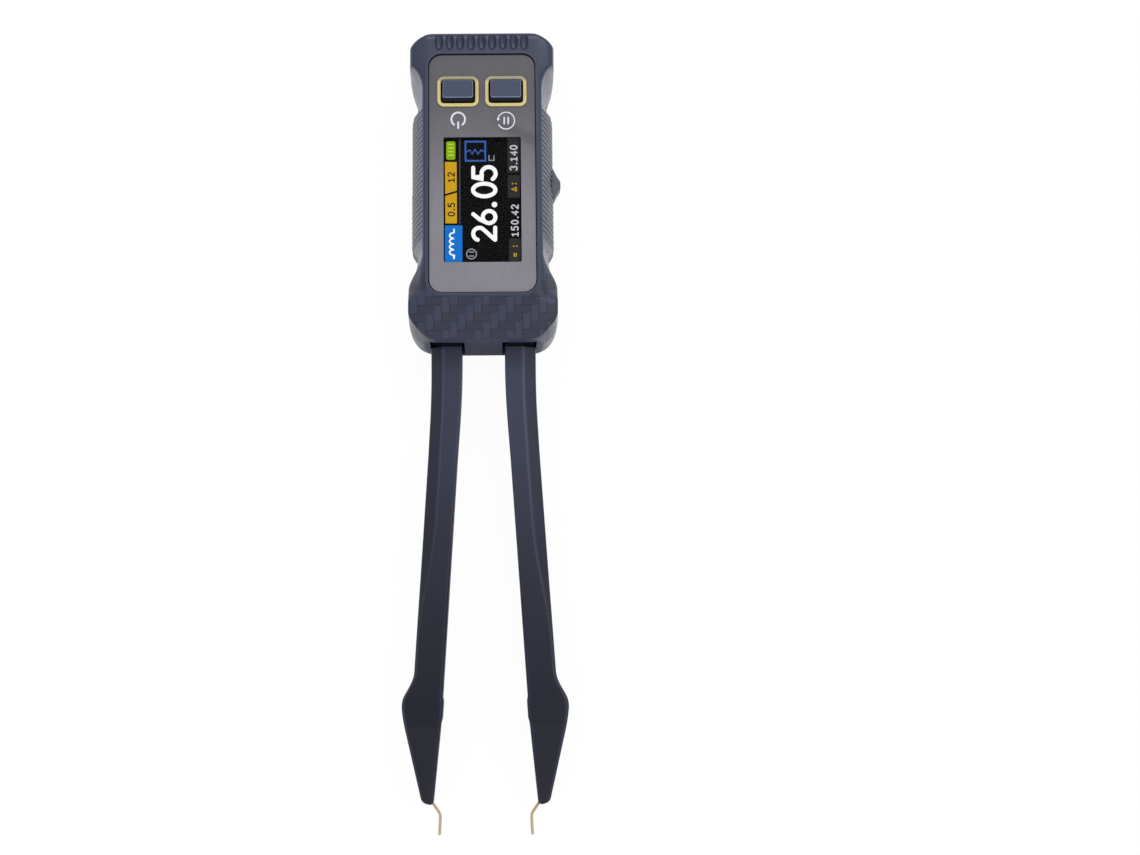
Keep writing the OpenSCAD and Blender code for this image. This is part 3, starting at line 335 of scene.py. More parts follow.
def soft_least(a, b, k):
    return np.minimum(a, b) - np.maximum(k - np.abs(a - b), 0) ** 2 / (4 * k)


def corner_x(y, full, low):
    """Half width where the corner chamfer cuts the outline: straight above, rounder below."""
    chamfer = np.where(y > 0, HEAD_CHAMFER, ARM_CHAMFER)
    t = clamp01((np.abs(y) - HALF + chamfer) / chamfer)
    line = mix(full + CORNER_OUT, END_W / 2, t)
    arc = END_W / 2 + (full + CORNER_OUT - END_W / 2) * np.sqrt(1 - t * t)
    turn = 0.9 * clamp01((np.abs(y) - HALF + 1.0) / 1.0) ** 2
    return mix(line, arc, 0.7 * low) - turn


def wide_x(y):
    """Half width of the case at its widest height."""
    ear = np.where(y > 0, HEAD_EAR_W, ARM_EAR_W) / 2
    grip, waist = GRIP_W / 2, WAIST_W / 2
    free = np.where(y > HEAD_WAIST_Y, glide(y, HEAD_WAIST_Y, HEAD_EAR_Y, waist, ear),
                    np.where(y > 0, glide(y, HEAD_GRIP_Y, HEAD_WAIST_Y, grip, waist),
                             np.where(y > ARM_WAIST_Y, glide(y, ARM_GRIP_Y, ARM_WAIST_Y, grip, waist),
                                      glide(y, ARM_NECK_Y, ARM_EAR_Y, waist, ear))))
    return soft_least(free, corner_x(y, ear, 1), np.where(y > 0, 1.8, 1.2))


def shoulder_x(y):
    ear = np.where(y > 0, HEAD_EAR_W, ARM_EAR_W) / 2 - 0.15
    t = clamp01((y - HEAD_ARC_Y) / (HEAD_EAR_Y - HEAD_ARC_Y))
    free = np.where(y > 0, mix(SIDE_X, ear, 1 - np.sqrt(1 - t * t)),
                    glide(y, ARM_FLARE_Y, ARM_EAR_Y, SIDE_X, ear))
    return soft_least(free, corner_x(y, ear, 0), np.where(y > 0, 1.8, 1.2))


def shoulder_z(y):
    """Height of the shoulder, which dips where the arm ears begin and rises again towards the end."""
    fall = ease((ARM_FLARE_Y - y) / (ARM_FLARE_Y - ARM_EAR_Y - 1))
    dip = fall * (1 - ease((ARM_EAR_Y + 1 - y) / 4.6))
    return np.minimum(SHOULDER_Z - EAR_DIP * dip, deck_z(y) - 0.7)


def deck_x(y):
    return soft_least(np.full_like(y, DECK_X), corner_x(y, DECK_X + 3.2, 0) - 0.5, 0.5)


def case_corners(y, w=0.0, d=0.0, f=0.0):
    """Corners of the right half of the case's cross-sections, from the deck's edge down to the floor."""
    zt = deck_z(y) - d
    zs = np.minimum(shoulder_z(y) - w * 0.7, zt - 0.5)
    xd = deck_x(y) - w
    xs = np.maximum(shoulder_x(y) - w, xd + 0.1)
    xw = wide_x(y) - w
    flat = np.ones_like(y)
    corners = [(xd, zt), (xs, zs), (mix(xs, xw, 0.55), mix(zs, WIDE_Z, 0.5)), (xw, (WIDE_Z - 0.4) * flat),
               (xw - 0.05, LOW_Z * flat), (xw - 0.4, max(f + 0.4, 1.2) * flat), (xw - 1.2, f * flat)]
    return np.stack([np.stack(c, -1) for c in corners], 1)


def rounded_path(corners, reach, turns, runs, closed=False):
    """Corner points joined by straight runs and short curves. An open path's ends curve in from the left."""
    out = []
    n = corners.shape[1]
    sideways = np.array([[-3.0, 0.0]])
    for k in range(n):
        here = corners[:, k]
        to_back = corners[:, k - 1] - here if k or closed else sideways
        to_ahead = corners[:, (k + 1) % n] - here if k < n - 1 or closed else sideways
        lb, la = (np.linalg.norm(v, axis=1, keepdims=True) for v in (to_back, to_ahead))
        r = np.minimum(reach[k], 0.45 * np.minimum(lb, la))
        p, q = here + to_back / lb * r, here + to_ahead / la * r
        if out and runs[k - 1] > 1:
            start = out[-1]
            out += [mix(start, p, i / runs[k - 1]) for i in range(1, runs[k - 1])]
        out += bend(p, here, q, turns[k])
    return np.stack(out, 1)


def bend(p, corner, q, n):
    """Points of a soft turn from p to q round a corner."""
    return [(1 - t) ** 2 * p + 2 * t * (1 - t) * corner + t * t * q for t in np.linspace(0, 1, n + 1)]


def case_loft(name, rows, w=0.0, d=0.0, f=0.0, fine=True):
    y = np.asarray(rows, dtype=float)
    corners = case_corners(y, w, d, f)
    if fine:
        end = np.minimum(HALF - np.abs(y), END_R)
        inset = END_R - np.sqrt(END_R ** 2 - (END_R - end) ** 2)
        corners[:, :, 0] -= inset[:, None]
        corners[:, 0, 1] -= inset * 0.6
        corners[:, -1, 1] += inset * 0.6
        head_ear, arm_ear = ease((y - HEAD_ARC_Y) / 2.5)[:, None], ease((ARM_FLARE_Y - y) / 3.0)[:, None]
        deck_edge = mix(0.3, SOFT_EDGE, np.maximum(head_ear, arm_ear))
        shoulder_edge = mix(0.25, SOFT_EDGE, head_ear)
        side = rounded_path(corners, (deck_edge, shoulder_edge, 1.0, 1.0, 1.2, 0.7, 0.5),
                            (6, 6, 7, 8, 8, 4, 4), (6, 12, 12, 44, 8, 2))
        side[:, :, 0] -= rib_depth(y[:, None], side[:, :, 1], side[:, :, 0])
    else:
        side = corners
    x, z = side[:, :, 0], side[:, :, 1]
    lean = LIP_BACK * clamp01((-HALF + LIP_LEN - y) / LIP_LEN)
    yy = (y * (HALF - w) / HALF)[:, None] + lean[:, None] * clamp01((z - WIDE_Z) / LIP_LEN)
    right = np.stack([x, yy, z], -1)
    left = right[:, ::-1] * np.array([-1, 1, 1])
    return loft(name, np.concatenate([right, left], 1))


def rib_depth(y, z, x):
    """Depth of the grooves between the slanted ribs on both grips, and of the scoops past their ends."""
    mid_z = mix(SHOULDER_Z, WIDE_Z, 0.5)
    along = (y - RIB_Y - (z - mid_z) * math.tan(math.radians(RIB_SLANT))) / RIB_PITCH + RIB_COUNT / 2
    groove = 0.5 + 0.5 * np.cos(2 * np.pi * along)
    past = np.maximum(-0.5 - along, (y - PAD_HEAD_Y) / RIB_PITCH) * RIB_PITCH
    scoop = ease(past / 0.6) * (1 - ease((past - 0.8) / PAD_FADE))
    depth = np.where(past < 0, RIB_DEPTH * groove, PAD_STEP * scoop)
    top = clamp01((SHOULDER_Z + 0.2 - z) / 0.3)
    low = clamp01((z - RIB_LOW_Z) / 0.8)
    return depth * top * low


def case_rows():
    """Places along the case, closest together over the ribs and at the rounded ends."""
    ends = [0, 0.02, 0.06, 0.12, 0.2, 0.3, 0.4, 0.52]
    ribs0 = RIB_Y - RIB_PITCH * (RIB_COUNT / 2 + 0.6) - 5.5
    ribs1 = PAD_HEAD_Y + 1.0
    rows = [-HALF + e for e in ends]
    rows += list(np.linspace(-HALF + 0.7, ribs0, 46))[:-1]
    rows += list(np.linspace(ribs0, ribs1, round((ribs1 - ribs0) / 0.12)))
    rows += list(np.linspace(ribs1, HALF - 0.7, 46))[1:]
    return rows + [HALF - e for e in ends[::-1]]


def tube(name, path, r, n=28):
    """A round bar along a path of points."""
    path = np.asarray(path, dtype=float)
    d = np.gradient(path, axis=0)
    d /= np.linalg.norm(d, axis=1, keepdims=True)
    side = np.cross(d, (0, 0, 1.0))
    side /= np.linalg.norm(side, axis=1, keepdims=True)
    up = np.cross(side, d)
    turn = np.linspace(0, 2 * np.pi, n, endpoint=False)
    radii = np.broadcast_to(r, len(path)).astype(float).copy()
    rings = (path[:, None] + radii[:, None, None] * (side[:, None] * np.cos(turn)[:, None]
                                                     + up[:, None] * np.sin(turn)[:, None]))
    return capped(name, rings)


def capped(name, rings):
    """A closed skin over rings, with one flat face on each end."""
    rings = np.asarray(rings)
    n, m = rings.shape[:2]
    faces = [(i * m + j, (i + 1) * m + j, (i + 1) * m + (j + 1) % m, i * m + (j + 1) % m)
             for i in range(n - 1) for j in range(m)]
    faces += [tuple(range(m)), tuple(range((n - 1) * m, n * m))[::-1]]
    obj = mesh_object(name, rings.reshape(-1, 3), faces)
    outward(obj)
    return obj


def outward(obj):
    bm = bmesh.new()
    bm.from_mesh(obj.data)
    bmesh.ops.recalc_face_normals(bm, faces=bm.faces)
    bm.to_mesh(obj.data)
    bm.free()


def finished(obj, node, body, shade, angle=35):
    """A shaped piece takes over from a CAD node."""
    smooth(obj, angle)
    obj.data.materials.clear()
    obj.data.materials.append(shade)
    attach(obj, body)
    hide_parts(node)


# ---- case shells ----

def flute_cutter(x):
    """A pod that follows the deck over its rounded end and leaves an oval flute."""
    rings = []
    last = HALF - 0.001
    for t in np.linspace(-1, 1, 33):
        run = math.sin(t * math.pi / 2)
        y = FLUTE_Y + FLUTE_LEN / 2 * run
        swell = math.sqrt(max(1 - abs(run) ** 2.6, 0.0004))
        y0, y1 = np.array([y - 0.02]), np.array([min(y + 0.02, last)])
        slope = max(float((deck_z(y1) - deck_z(y0))[0] / (y1 - y0)[0]), -1.6)
        tilt = math.hypot(1, slope)
        z = float(deck_z(np.array([min(y, last)]))[0])
        ring = []
        for b in np.linspace(0, 2 * np.pi, 32, endpoint=False):
            out = 0.12 + 0.82 * swell * math.sin(b)
            ring.append((x + 0.84 * swell * math.cos(b), y - slope / tilt * out, z + 1 / tilt * out))
        rings.append(ring)
    return capped("flute", rings)


def round_prism(name, centre, w, l, r, z0, z1, n=10):
    return prism(name, round_outline(w, l, r, n), z0, z1, centre)


def inner_body(name, w, d, f):
    """A plain body inside the case's skin: w in from its sides, d below its deck and f above the ground."""
    return case_loft(name, np.linspace(-HALF, HALF, 90), w, d, f, fine=False)


def shell_cutters():
    """Openings that both halves of the case share."""
    out = [inner_body("cavity", WALL, DECK_T, FLOOR_T)]
    for s in (-1, 1):
        x0, x1 = sorted((s * (ARM_GAP / 2 - 0.52), s * (ARM_GAP / 2 + ARM_W + 0.12)))
        out.append(block("slot", x0, x1, -HALF - 1, -HALF + WALL + 2.4, ARM_BOTTOM - 0.4, 13))
    lo, hi = (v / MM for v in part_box("jog_cap"))
    out.append(block("jog_hole", JOG_BODY_X - 0.4, HALF, lo.y - 0.45, hi.y + 0.45, lo.z - 0.35, hi.z + 0.35))
    lo, hi = (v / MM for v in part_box("usb_socket"))
    mid = (lo + hi) / 2
    outline = round_outline(hi.x - lo.x + 0.4, hi.z - lo.z + 0.4, (hi.z - lo.z + 0.4) / 2 - 0.001, 12)
    hole = prism("usb_hole", outline, -5, 1)
    for v in hole.data.vertices:
        v.co = (v.co.x, HALF * MM + v.co.z, mid.z * MM + v.co.y)
    outward(hole)
    return out + [hole]


def bosses(at, r, z0, z1):
    return [rod("boss", x, y, r, z0, z1) for x, y in at]


def trimmed(posts, d, f):
    """Posts cut off inside the case's walls."""
    core = inner_body("core", WALL / 2, d, f)
    for post in posts:
        carve(post, [duplicate(core)], "INTERSECT")
    bpy.data.objects.remove(core)
    return posts


def make_shells(shade):
    case_screws = [(s * x, y) for s in (-1, 1) for x, y in (HEAD_SCREW, ARM_SCREW)]
    pivots = [(s * ARM_X, PIVOT_Y) for s in (-1, 1)]
    rows = case_rows()
    across = (-HALF, HALF, -HALF - 1, HALF + 1)

    top = case_loft("case_top", rows)
    carve(top, shell_cutters())
    posts = trimmed(bosses(case_screws, 1.9, SPLIT_Z, CASE_H) + bosses(pivots, 2.4, BOSS_Z, CASE_H),
                    DECK_T / 2, FLOOR_T)
    rim = round_prism("rim", (0, PANEL_MID), PANEL_W + 1.5, PANEL_LEN + 1.5, PANEL_R + 0.75,
                      CASE_H - 0.6, CASE_H + RIM_RISE)
    bevel_edges(rim, RIM_RISE, 3)
    carve(top, posts + [rim], "UNION")
    cutters = [block("below", *across, -1, SPLIT_Z),
               round_prism("recess", (0, PANEL_MID), PANEL_W + 2 * FIT, PANEL_LEN + 2 * FIT, PANEL_R + FIT,
                           PANEL_BACK, CASE_H + 1, 14)]
    lo, hi = (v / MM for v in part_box("lcd_glass"))
    through = (CASE_H - DECK_T - 1, PANEL_BACK + 1)
    mid_y = (lo.y + hi.y) / 2
    cutters += [round_prism("lcd_hole", (0, mid_y), hi.x - lo.x + 0.4, hi.y - lo.y + 0.4, 0.6, *through),
                block("flex_hole", -4.5, 4.5, mid_y, hi.y + 1.7, *through)]
    for node in ("bezel_power", "bezel_hold"):
        lo, hi = (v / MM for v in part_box(node))
        mid = (lo + hi) / 2
        cutters.append(round_prism("button_hole", (mid.x, mid.y), hi.x - lo.x - 0.3, hi.y - lo.y - 0.3, 0.9,
                                   *through))
    cutters += bosses(case_screws, 0.9, SPLIT_Z - 1, SPLIT_Z + 4.6)
    cutters += bosses(pivots, 1.0, BOSS_Z - 1, BOSS_Z + 0.7)
    carve(top, cutters + [flute_cutter((k - 4) * FLUTE_PITCH) for k in range(9)])
    finished(top, "top_shell", "root", shade)

    low = case_loft("case_bottom", rows)
    carve(low, shell_cutters() + [block("above", *across, SPLIT_Z, CASE_H + 1)])
    board = [(s * (BOARD_W / 2 - 1.5), y) for s in (-1, 1) for y in BOARD_SCREW_Y]
    posts = trimmed(bosses(case_screws, 2.5, FLOOR_T / 2, SPLIT_Z)
                    + bosses(pivots, 2.2, FLOOR_T / 2, ARM_BOTTOM - 0.2)
                    + bosses(board, 1.4, FLOOR_T / 2, BOARD_Z), DECK_T, FLOOR_T / 2)
    lo, hi = (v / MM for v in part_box("battery_cell"))
    posts += [block("stop", -5, 5, y, y + 1, FLOOR_T / 2, FLOOR_T + 2.4) for y in (lo.y - 1.2, hi.y + 0.2)]
    carve(low, posts, "UNION")
    carve(low, bosses(case_screws, 1.1, -1, SPLIT_Z + 1) + bosses(case_screws, 2.0, -1, 1.5)
          + bosses(board, 0.7, BOARD_Z - 3.8, BOARD_Z + 1) + bosses(pivots, 1.0, 0.7, ARM_BOTTOM))
    finished(low, "bottom_shell", "root", shade)


def duplicate(obj):
    copy = obj.copy()
    copy.data = obj.data.copy()
    return link(copy)


def bevel_edges(obj, width, segments, angle=30):
    bevel = obj.modifiers.new("bevel", "BEVEL")
    bevel.width = width * MM
    bevel.segments = segments
    bevel.limit_method = "ANGLE"
    bevel.angle_limit = math.radians(angle)
    bevel.miter_outer = "MITER_ARC"
    apply_modifiers(obj)


# ---- arms ----

def arm_mid(y):
    d = np.maximum(0, BEND_Y - y)
    s = math.tan(math.radians(SPLAY))
    return ARM_X + np.where(d > BEND_LEN, s * (d - BEND_LEN / 2), s * d * d / (2 * BEND_LEN))


def arm_half(y):
    return mix(ARM_W, ARM_SLIM_W, clamp01((BEND_Y - y) / BEND_LEN / 1.5)) / 2


def arm_in(y):
    tip = clamp01((BULGE_Y - 2 - y) / 15.8)
    nub = clamp01(1.4 - np.abs(y - BULGE_Y) / 1.8)
    return arm_mid(y) - arm_half(y) + 0.55 * tip - 0.2 * np.minimum(1, nub * 2)


def arm_out(y):
    side = arm_mid(y) + arm_half(y)
    swell = side + BULGE_OUT * ease((BULGE_Y + 7.3 - y) / 7.4)
    taper = arm_mid(np.array(BULGE_Y)) + arm_half(BULGE_Y) + BULGE_OUT - 0.25 + 0.229 * (y - BULGE_Y)
    nose = 0.8 * clamp01((ARM_Y1 + 1.1 - y) / 1.1) ** 2
    return soft_least(swell, taper, 1.4) - nose


def arm_rings(s, upper):
    """Cross-sections of one half of an arm, with soft edges. s is -1 for the left arm."""
    y = np.concatenate([ARM_Y1 + np.array([0, 0.03, 0.1, 0.2, 0.35, 0.55, 0.8]),
                        np.linspace(ARM_Y1 + 1.1, BULGE_Y + 9, 80),
                        np.linspace(BULGE_Y + 9.5, BEND_Y - BEND_LEN, 60),
                        np.linspace(BEND_Y - BEND_LEN + 0.4, BEND_Y, 22),
                        [BEND_Y + 1, BEND_Y + 2],
                        -HALF + np.array([-0.05, 0.1, 0.3, 1.5]), [ARM_Y0]])
    end = np.minimum(y - ARM_Y1, 0.45)
    inset = 0.45 - np.sqrt(0.45 ** 2 - (0.45 - end) ** 2)
    a, b = arm_in(y) + inset, arm_out(y) - inset
    seam = ARM_Z * np.ones_like(y)
    tip = clamp01((BULGE_Y - 3 - y) / 15)
    if upper:
        t = ARM_TOP - TIP_FALL * tip - inset - ROOT_STEP * clamp01((y + HALF) / 0.25)
        slim = ease((BULGE_Y + 38 - y) / 26)
        f = mix(FACET_W, TIP_BEVEL, slim)
        drop = mix(0.5 * f + 0.2, 1.1 * f, slim)
        inner = mix(0.3, 0.45, slim)
        corners = [(mix(a, b, 0.5), t), (b - f, t), (b, t - drop), (b, seam), (a, seam), (a, t - inner),
                   (a + inner, t)]
        reach = (0.1, 0.3, 0.3, 0.12, 0.12, 0.15, 0.15)
        turns, runs = (1, 4, 4, 3, 3, 3, 3), (3, 4, 6, 1, 6, 1)
    else:
        k = ARM_BOTTOM + 1.1 * tip + inset
        corners = [(mix(a, b, 0.5), k), (a, k), (a, seam), (b, seam), (b, k + 0.3)]
        reach, turns, runs = (0.1, 0.6, 0.12, 0.12, 0.9), (1, 5, 3, 3, 5), (3, 6, 1, 6)
    path = rounded_path(np.stack([np.stack(c, -1) for c in corners], 1), reach, turns, runs, closed=True)
    return np.stack([s * path[:, :, 0], np.broadcast_to(y[:, None], path.shape[:2]), path[:, :, 1]], -1)


def swept_band(name, y0, y1, off, w, z0, z1, s):
    """A bar that follows an arm's bend, for cutting."""
    y = np.linspace(y0, y1, 24)
    m = arm_mid(y) + off
    outline = list(zip(s * (m + w / 2), y)) + list(zip(s * (m[::-1] - w / 2), y[::-1]))
    band = prism(name, outline, z0, z1)
    outward(band)
    return band


def pocket(a, b, w, s):
    """A square channel between two points in the plane where an arm's halves meet."""
    a, b = np.array(a, dtype=float), np.array(b, dtype=float)
    d = (b - a) / np.linalg.norm(b - a)
    side = np.array([-d[1], d[0]]) * w / 2
    outline = [(s * p[0], p[1]) for p in (a - side, b - side, b + side, a + side)]
    box = prism("pocket", outline, ARM_Z - w / 2, ARM_Z + w / 2)
    outward(box)
    return box


def along(t):
    """The point t millimetres from the contact's heel towards its root."""
    root = CONTACT_TOP - HEEL
    return HEEL + root * t / np.linalg.norm(root)


def contact_pockets(s):
    wide = 2 * CONTACT_R + 0.2
    return [pocket(along(1), along(8.4), 1.7, s), pocket(ELBOW, HEEL + (HEEL - ELBOW) * 0.15, wide, s),
            pocket(HEEL - (along(1) - HEEL) * 0.3, along(7.4), wide, s)]


def make_arms(shade, pin_shade):
    for s, side in ((-1, "left"), (1, "right")):
        body = "arm_" + side
        pivot = (s * ARM_X, PIVOT_Y)
        screws = [(s * (ARM_X + 1.5), BEND_Y - 3.4), (s * (float(arm_mid(BULGE_Y)) + 1.9), BULGE_Y)]
        channel = ("channel", BEND_Y - 8, BULGE_Y + 8)

        def holes(r, z0, z1):
            return [rod("hole", *p, r, z0, z1) for p in screws]

        cover = capped("cover_" + side, arm_rings(s, True))
        carve(cover, [rod("eye", *pivot, EYE_R, ARM_Z, ARM_TOP)], "UNION")
        x0, x1 = sorted((s * (ARM_X - 0.75), s * (ARM_X + 0.75)))
        carve(cover, [rod("hole", *pivot, 1.03, ARM_Z - 1, ARM_TOP + 1),
                      swept_band(*channel, 0, 2.8, ARM_Z - 1, ARM_TOP - 1.4, s)]
              + holes(0.7, ARM_Z - 1, ARM_TOP - 1.3) + contact_pockets(s)
              + [block("leg_slot", x0, x1, PIVOT_Y - 3.42, PIVOT_Y - 2.78, ARM_TOP - 1, ARM_TOP + 1)])
        finished(cover, "arm_cover_" + side, body, shade)

        base = capped("base_" + side, arm_rings(s, False))
        carve(base, [rod("eye", *pivot, EYE_R, ARM_BOTTOM, ARM_Z)], "UNION")
        carve(base, [rod("hole", *pivot, 1.03, ARM_BOTTOM - 1, ARM_Z + 1),
                     rod("ring", *pivot, 2.25, STRIP_Z, ARM_Z + 1),
                     swept_band("strip", ARM_Y0 + 1, STRIP_Y1 - 0.15, -1.2, 2.5, STRIP_Z, ARM_Z + 1, s),
                     swept_band(*channel, -1.2, 1.4, ARM_BOTTOM + 1.4, ARM_Z, s)]
              + holes(0.9, ARM_BOTTOM - 1, ARM_Z + 1) + holes(1.25, ARM_BOTTOM - 1, ARM_BOTTOM + 1.1)
              + contact_pockets(s))
        finished(base, "arm_base_" + side, body, shade)

        pin = tube("pin_" + side, *contact_wire(s), 28)
        finished(pin, "contact_pin_" + side, body, pin_shade, 50)


def curve_at(a, b, c, reach, n=8):
    p, q = b + (a - b) * reach / np.linalg.norm(a - b), b + (c - b) * reach / np.linalg.norm(c - b)
    return bend(p, b, q, n)


def contact_wire(s):
    """The bent contact's path, and its radius along it, which is smaller at the tip."""
    tip = np.array([TIP_X, TIP_Y])
    line = [mix(tip, ELBOW, t) for t in (0, 0.015, 0.04, 0.08, 0.3, 0.6)]
    line += curve_at(tip, ELBOW, HEEL, 0.7) + curve_at(ELBOW, HEEL, CONTACT_TOP, 0.7)
    line += [along(2), along(4), CONTACT_TOP]
    radii = np.array([0.72, 0.88, 0.97] + [1.0] * (len(line) - 3)) * CONTACT_R
    return [(s * p[0], p[1], ARM_Z) for p in line], radii


# ---- materials ----

def tone(r, g, b):
    """A colour given on the 0 to 255 scale, as linear light."""
    return tuple(c / 12.92 if c <= 0.04045 else ((c + 0.055) / 1.055) ** 2.4
                 for c in (v / 255 for v in (r, g, b))) + (1.0,)


def does(operation, swap=False):
    return lambda a, b: a.shade.math(operation, *((b, a) if swap else (a, b)))


class Value:
    """The output of a node, which can be added, multiplied and compared like a number."""

    def __init__(self, shade, socket):
        self.shade, self.socket = shade, socket

    def __abs__(self):
        return self.shade.math("ABSOLUTE", self)

    __add__ = __radd__ = does("ADD")
    __mul__ = __rmul__ = does("MULTIPLY")
    __sub__, __rsub__, __truediv__ = does("SUBTRACT"), does("SUBTRACT", True), does("DIVIDE")
    __lt__, __gt__ = does("LESS_THAN"), does("GREATER_THAN")


class Shade:
    """A node material under construction."""

    def __init__(self, name):
        self.material = bpy.data.materials.new(name)
        self.material.use_nodes = True
        self.tree = self.material.node_tree
        self.at = self.node("TexCoord", out="Object")
        split = add_node(self.tree, "SeparateXYZ", (self.at,))
        self.x, self.y, self.z = (Value(self, split.outputs[k]) * 1000 for k in range(3))

    def node(self, kind, inputs=(), out=0, **settings):
        return Value(self, add_node(self.tree, kind, inputs, **settings).outputs[out])

    def math(self, operation, *values):
        return self.node("Math", values, operation=operation)

    def least(self, a, b):
        return self.math("MINIMUM", a, b)

    def most(self, a, b):
        return self.math("MAXIMUM", a, b)

    def wave(self, operation, value, period):
        """SINE or COSINE with a period."""
        return self.math(operation, value * (2 * math.pi / period))

    def ramp(self, value, a, b, low=0.0, high=1.0):
        """Smooth change from low at a to high at b."""
        return self.node("MapRange", (value, a, b, low, high), interpolation_type="SMOOTHSTEP")

    def mix(self, share, a, b):
        """From colour a to colour b."""
        return self.node("Mix", {0: share, 6: a, 7: b}, 2, data_type="RGBA")

    def choose(self, share, a, b):
        """From number a to number b."""
        return self.node("Mix", {0: share, 2: a, 3: b})

    def stretched(self, *by):
        return self.node("VectorMath", (self.at, by), operation="MULTIPLY")

    def noise(self, scale, detail=2.0, rough=0.5, at=None):
        """Soft random values around 0.5. scale is lumps a millimetre."""
        return self.node("TexNoise", {"Vector": at or self.at, "Scale": scale * 1000, "Detail": detail,
                                      "Roughness": rough}, "Fac")

    def scaled(self, colour, factor):
        """A colour made lighter or darker by a value around 1."""
        colour = colour[:3] if isinstance(colour, tuple) else colour
        return self.node("VectorMath", {0: colour, "Scale": factor}, operation="SCALE")

    def bump(self, height, depth_mm, **normal):
        return self.node("Bump", {"Strength": 1.0, "Distance": depth_mm * MM, "Height": height, **normal})

    def finish(self, colour, rough, metal=0.0, **more):
        more = {key.replace("_", " "): value for key, value in more.items()}
        plug(self.tree, self.tree.nodes["Principled BSDF"],
             {"Base Color": colour, "Roughness": rough, "Metallic": metal, **more})
        return self.material


def moulded(name, colour, rough=0.45, grain=4.0, depth=0.005, vary=0.06, **more):
    """Moulded plastic, rubber or foam with a fine grain and a slightly uneven tone."""
    s = Shade(name)
    fine, broad = s.noise(grain, 3), s.noise(0.25, 2)
    shade = 1 - vary + (fine + broad) * vary
    return s.finish(s.scaled(tone(*colour), shade), rough - 0.06 + broad * 0.12, Normal=s.bump(fine, depth),
                    **more)


def metal(name, colour, rough=0.28, along=(1, 1, 1), grain=6.0, depth=0.004, vary=0.1, share=1.0):
    """Metal with fine tool marks stretched along one direction."""
    s = Shade(name)
    marks = s.noise(grain, 4, 0.65, s.stretched(*along))
    return s.finish(s.scaled(tone(*colour), 1 - vary / 2 + marks * vary), rough - 0.08 + marks * 0.16, share,
                    Normal=s.bump(marks, depth))


def trim(s, colour, shade, rough, grain, depth):
    """Small moulded parts: a slightly uneven tone and a fine grain."""
    uneven = 0.95 + s.noise(4) * 0.1
    return s.finish(s.scaled(colour, shade * uneven), rough, Normal=s.bump(s.noise(grain, 3), depth))


def case_plastic():
    """Dark blue-grey plastic, with an embossed twill weave round the arm end of the deck."""
    s = Shade("case_plastic")
    u, v = (s.x + WEAVE_X) / WEAVE_CELL, (WEAVE_Y - s.y) / WEAVE_CELL
    fu, fv = s.math("FRACT", u), s.math("FRACT", v)
    m = s.math("FLOORED_MODULO", s.math("FLOOR", u) + s.math("FLOOR", v), 4)
    across = m < 1.5
    long_u, long_v = m + fu, m - 2 + fv
    du = s.choose(across, s.least(fu, 1 - fu), s.least(long_u, 2 - long_u))
    dv = s.choose(across, s.least(long_v, 2 - long_v), s.least(fv, 1 - fv))
    # Painted shade: darker lines at the borders of the weave's blocks, and painted shadows of their steps
    edge = s.ramp(s.least(du, dv), 0.0, 0.06)
    step = s.ramp(s.least(s.choose(across, fu, long_u), s.choose(across, long_v, fv)), 0.03, 0.15)
    hatch = s.wave("SINE", s.choose(across, s.x, s.y), THREAD)
    # Distance outside the panel's outline
    qx = s.most(abs(s.x) - (PANEL_W / 2 - PANEL_R), 0)
    qy = s.most(abs(s.y - PANEL_MID) - (PANEL_LEN / 2 - PANEL_R), 0)
    outside = s.math("SQRT", qx * qx + qy * qy) - PANEL_R
    arm_end, head_end = s.ramp(s.y, -17.2, -18.2), s.ramp(s.y, 20.5, 23.5, 0, 0.08)
    upper = s.ramp(s.z, 9.7, 10.2) * s.ramp(s.y, -HALF + 0.3, -HALF + 0.6)
    region = (arm_end + head_end) * s.ramp(outside, 0.78, 0.86) * upper
    fibre, grain, broad = s.noise(2.2, 3, 0.6), s.noise(5.0, 3), s.noise(0.2, 2)
    # The weave's colour carries the painted shade of its block borders and step lines
    weave = s.choose(across, 1.02, 0.9) * (s.choose(edge, 0.85, 1.0) * s.choose(step, 0.62, 1.0))
    weave = weave * (1.0 + hatch * 0.13) * (0.85 + fibre * 0.3)
    # Painted highlight: the raised rim round the panel is made lighter
    rim = s.ramp(outside, 0.74, 0.66) * s.ramp(s.z, CASE_H, CASE_H + 0.05)
    plain = (0.93 + (grain + broad) * 0.07) * (1.0 + rim * 0.15)
    seam = s.ramp(abs(s.z - SPLIT_Z), 0.04, 0.09, 0.35, 1.0)
    colour = s.mix(region * across, tone(*CASE_TONE), tone(*WEFT_TONE))
    normal = s.bump(grain, 0.005, Normal=s.bump((step + hatch * 0.1) * region, 0.03))
    # Painted shade in the valleys between the ribs, which are also rougher
    valley = rib_valley_shade(s)
    # Painted light: the end wall at the arm end is made lighter, and it is also rougher
    end_wall = s.ramp(s.y, -HALF + 0.25, -HALF + 0.55, 0.3, 0.0)
    scoop = (s.z < SHOULDER_Z - 0.6) * (s.ramp(s.y, PAD_HEAD_Y - 0.3, PAD_HEAD_Y, 0, 0.07)
                                        + s.ramp(s.y, -9.5, -10.5, 0, 0.07))
    rough = 0.3 + broad * 0.1 + s.most(s.most(valley * 0.3, scoop), end_wall)
    shade = s.choose(region, plain, weave) * seam * (1.0 - valley * 0.35) * (1.0 + end_wall)
    return s.finish(s.scaled(colour, shade), rough, Normal=normal, IOR=1.6)


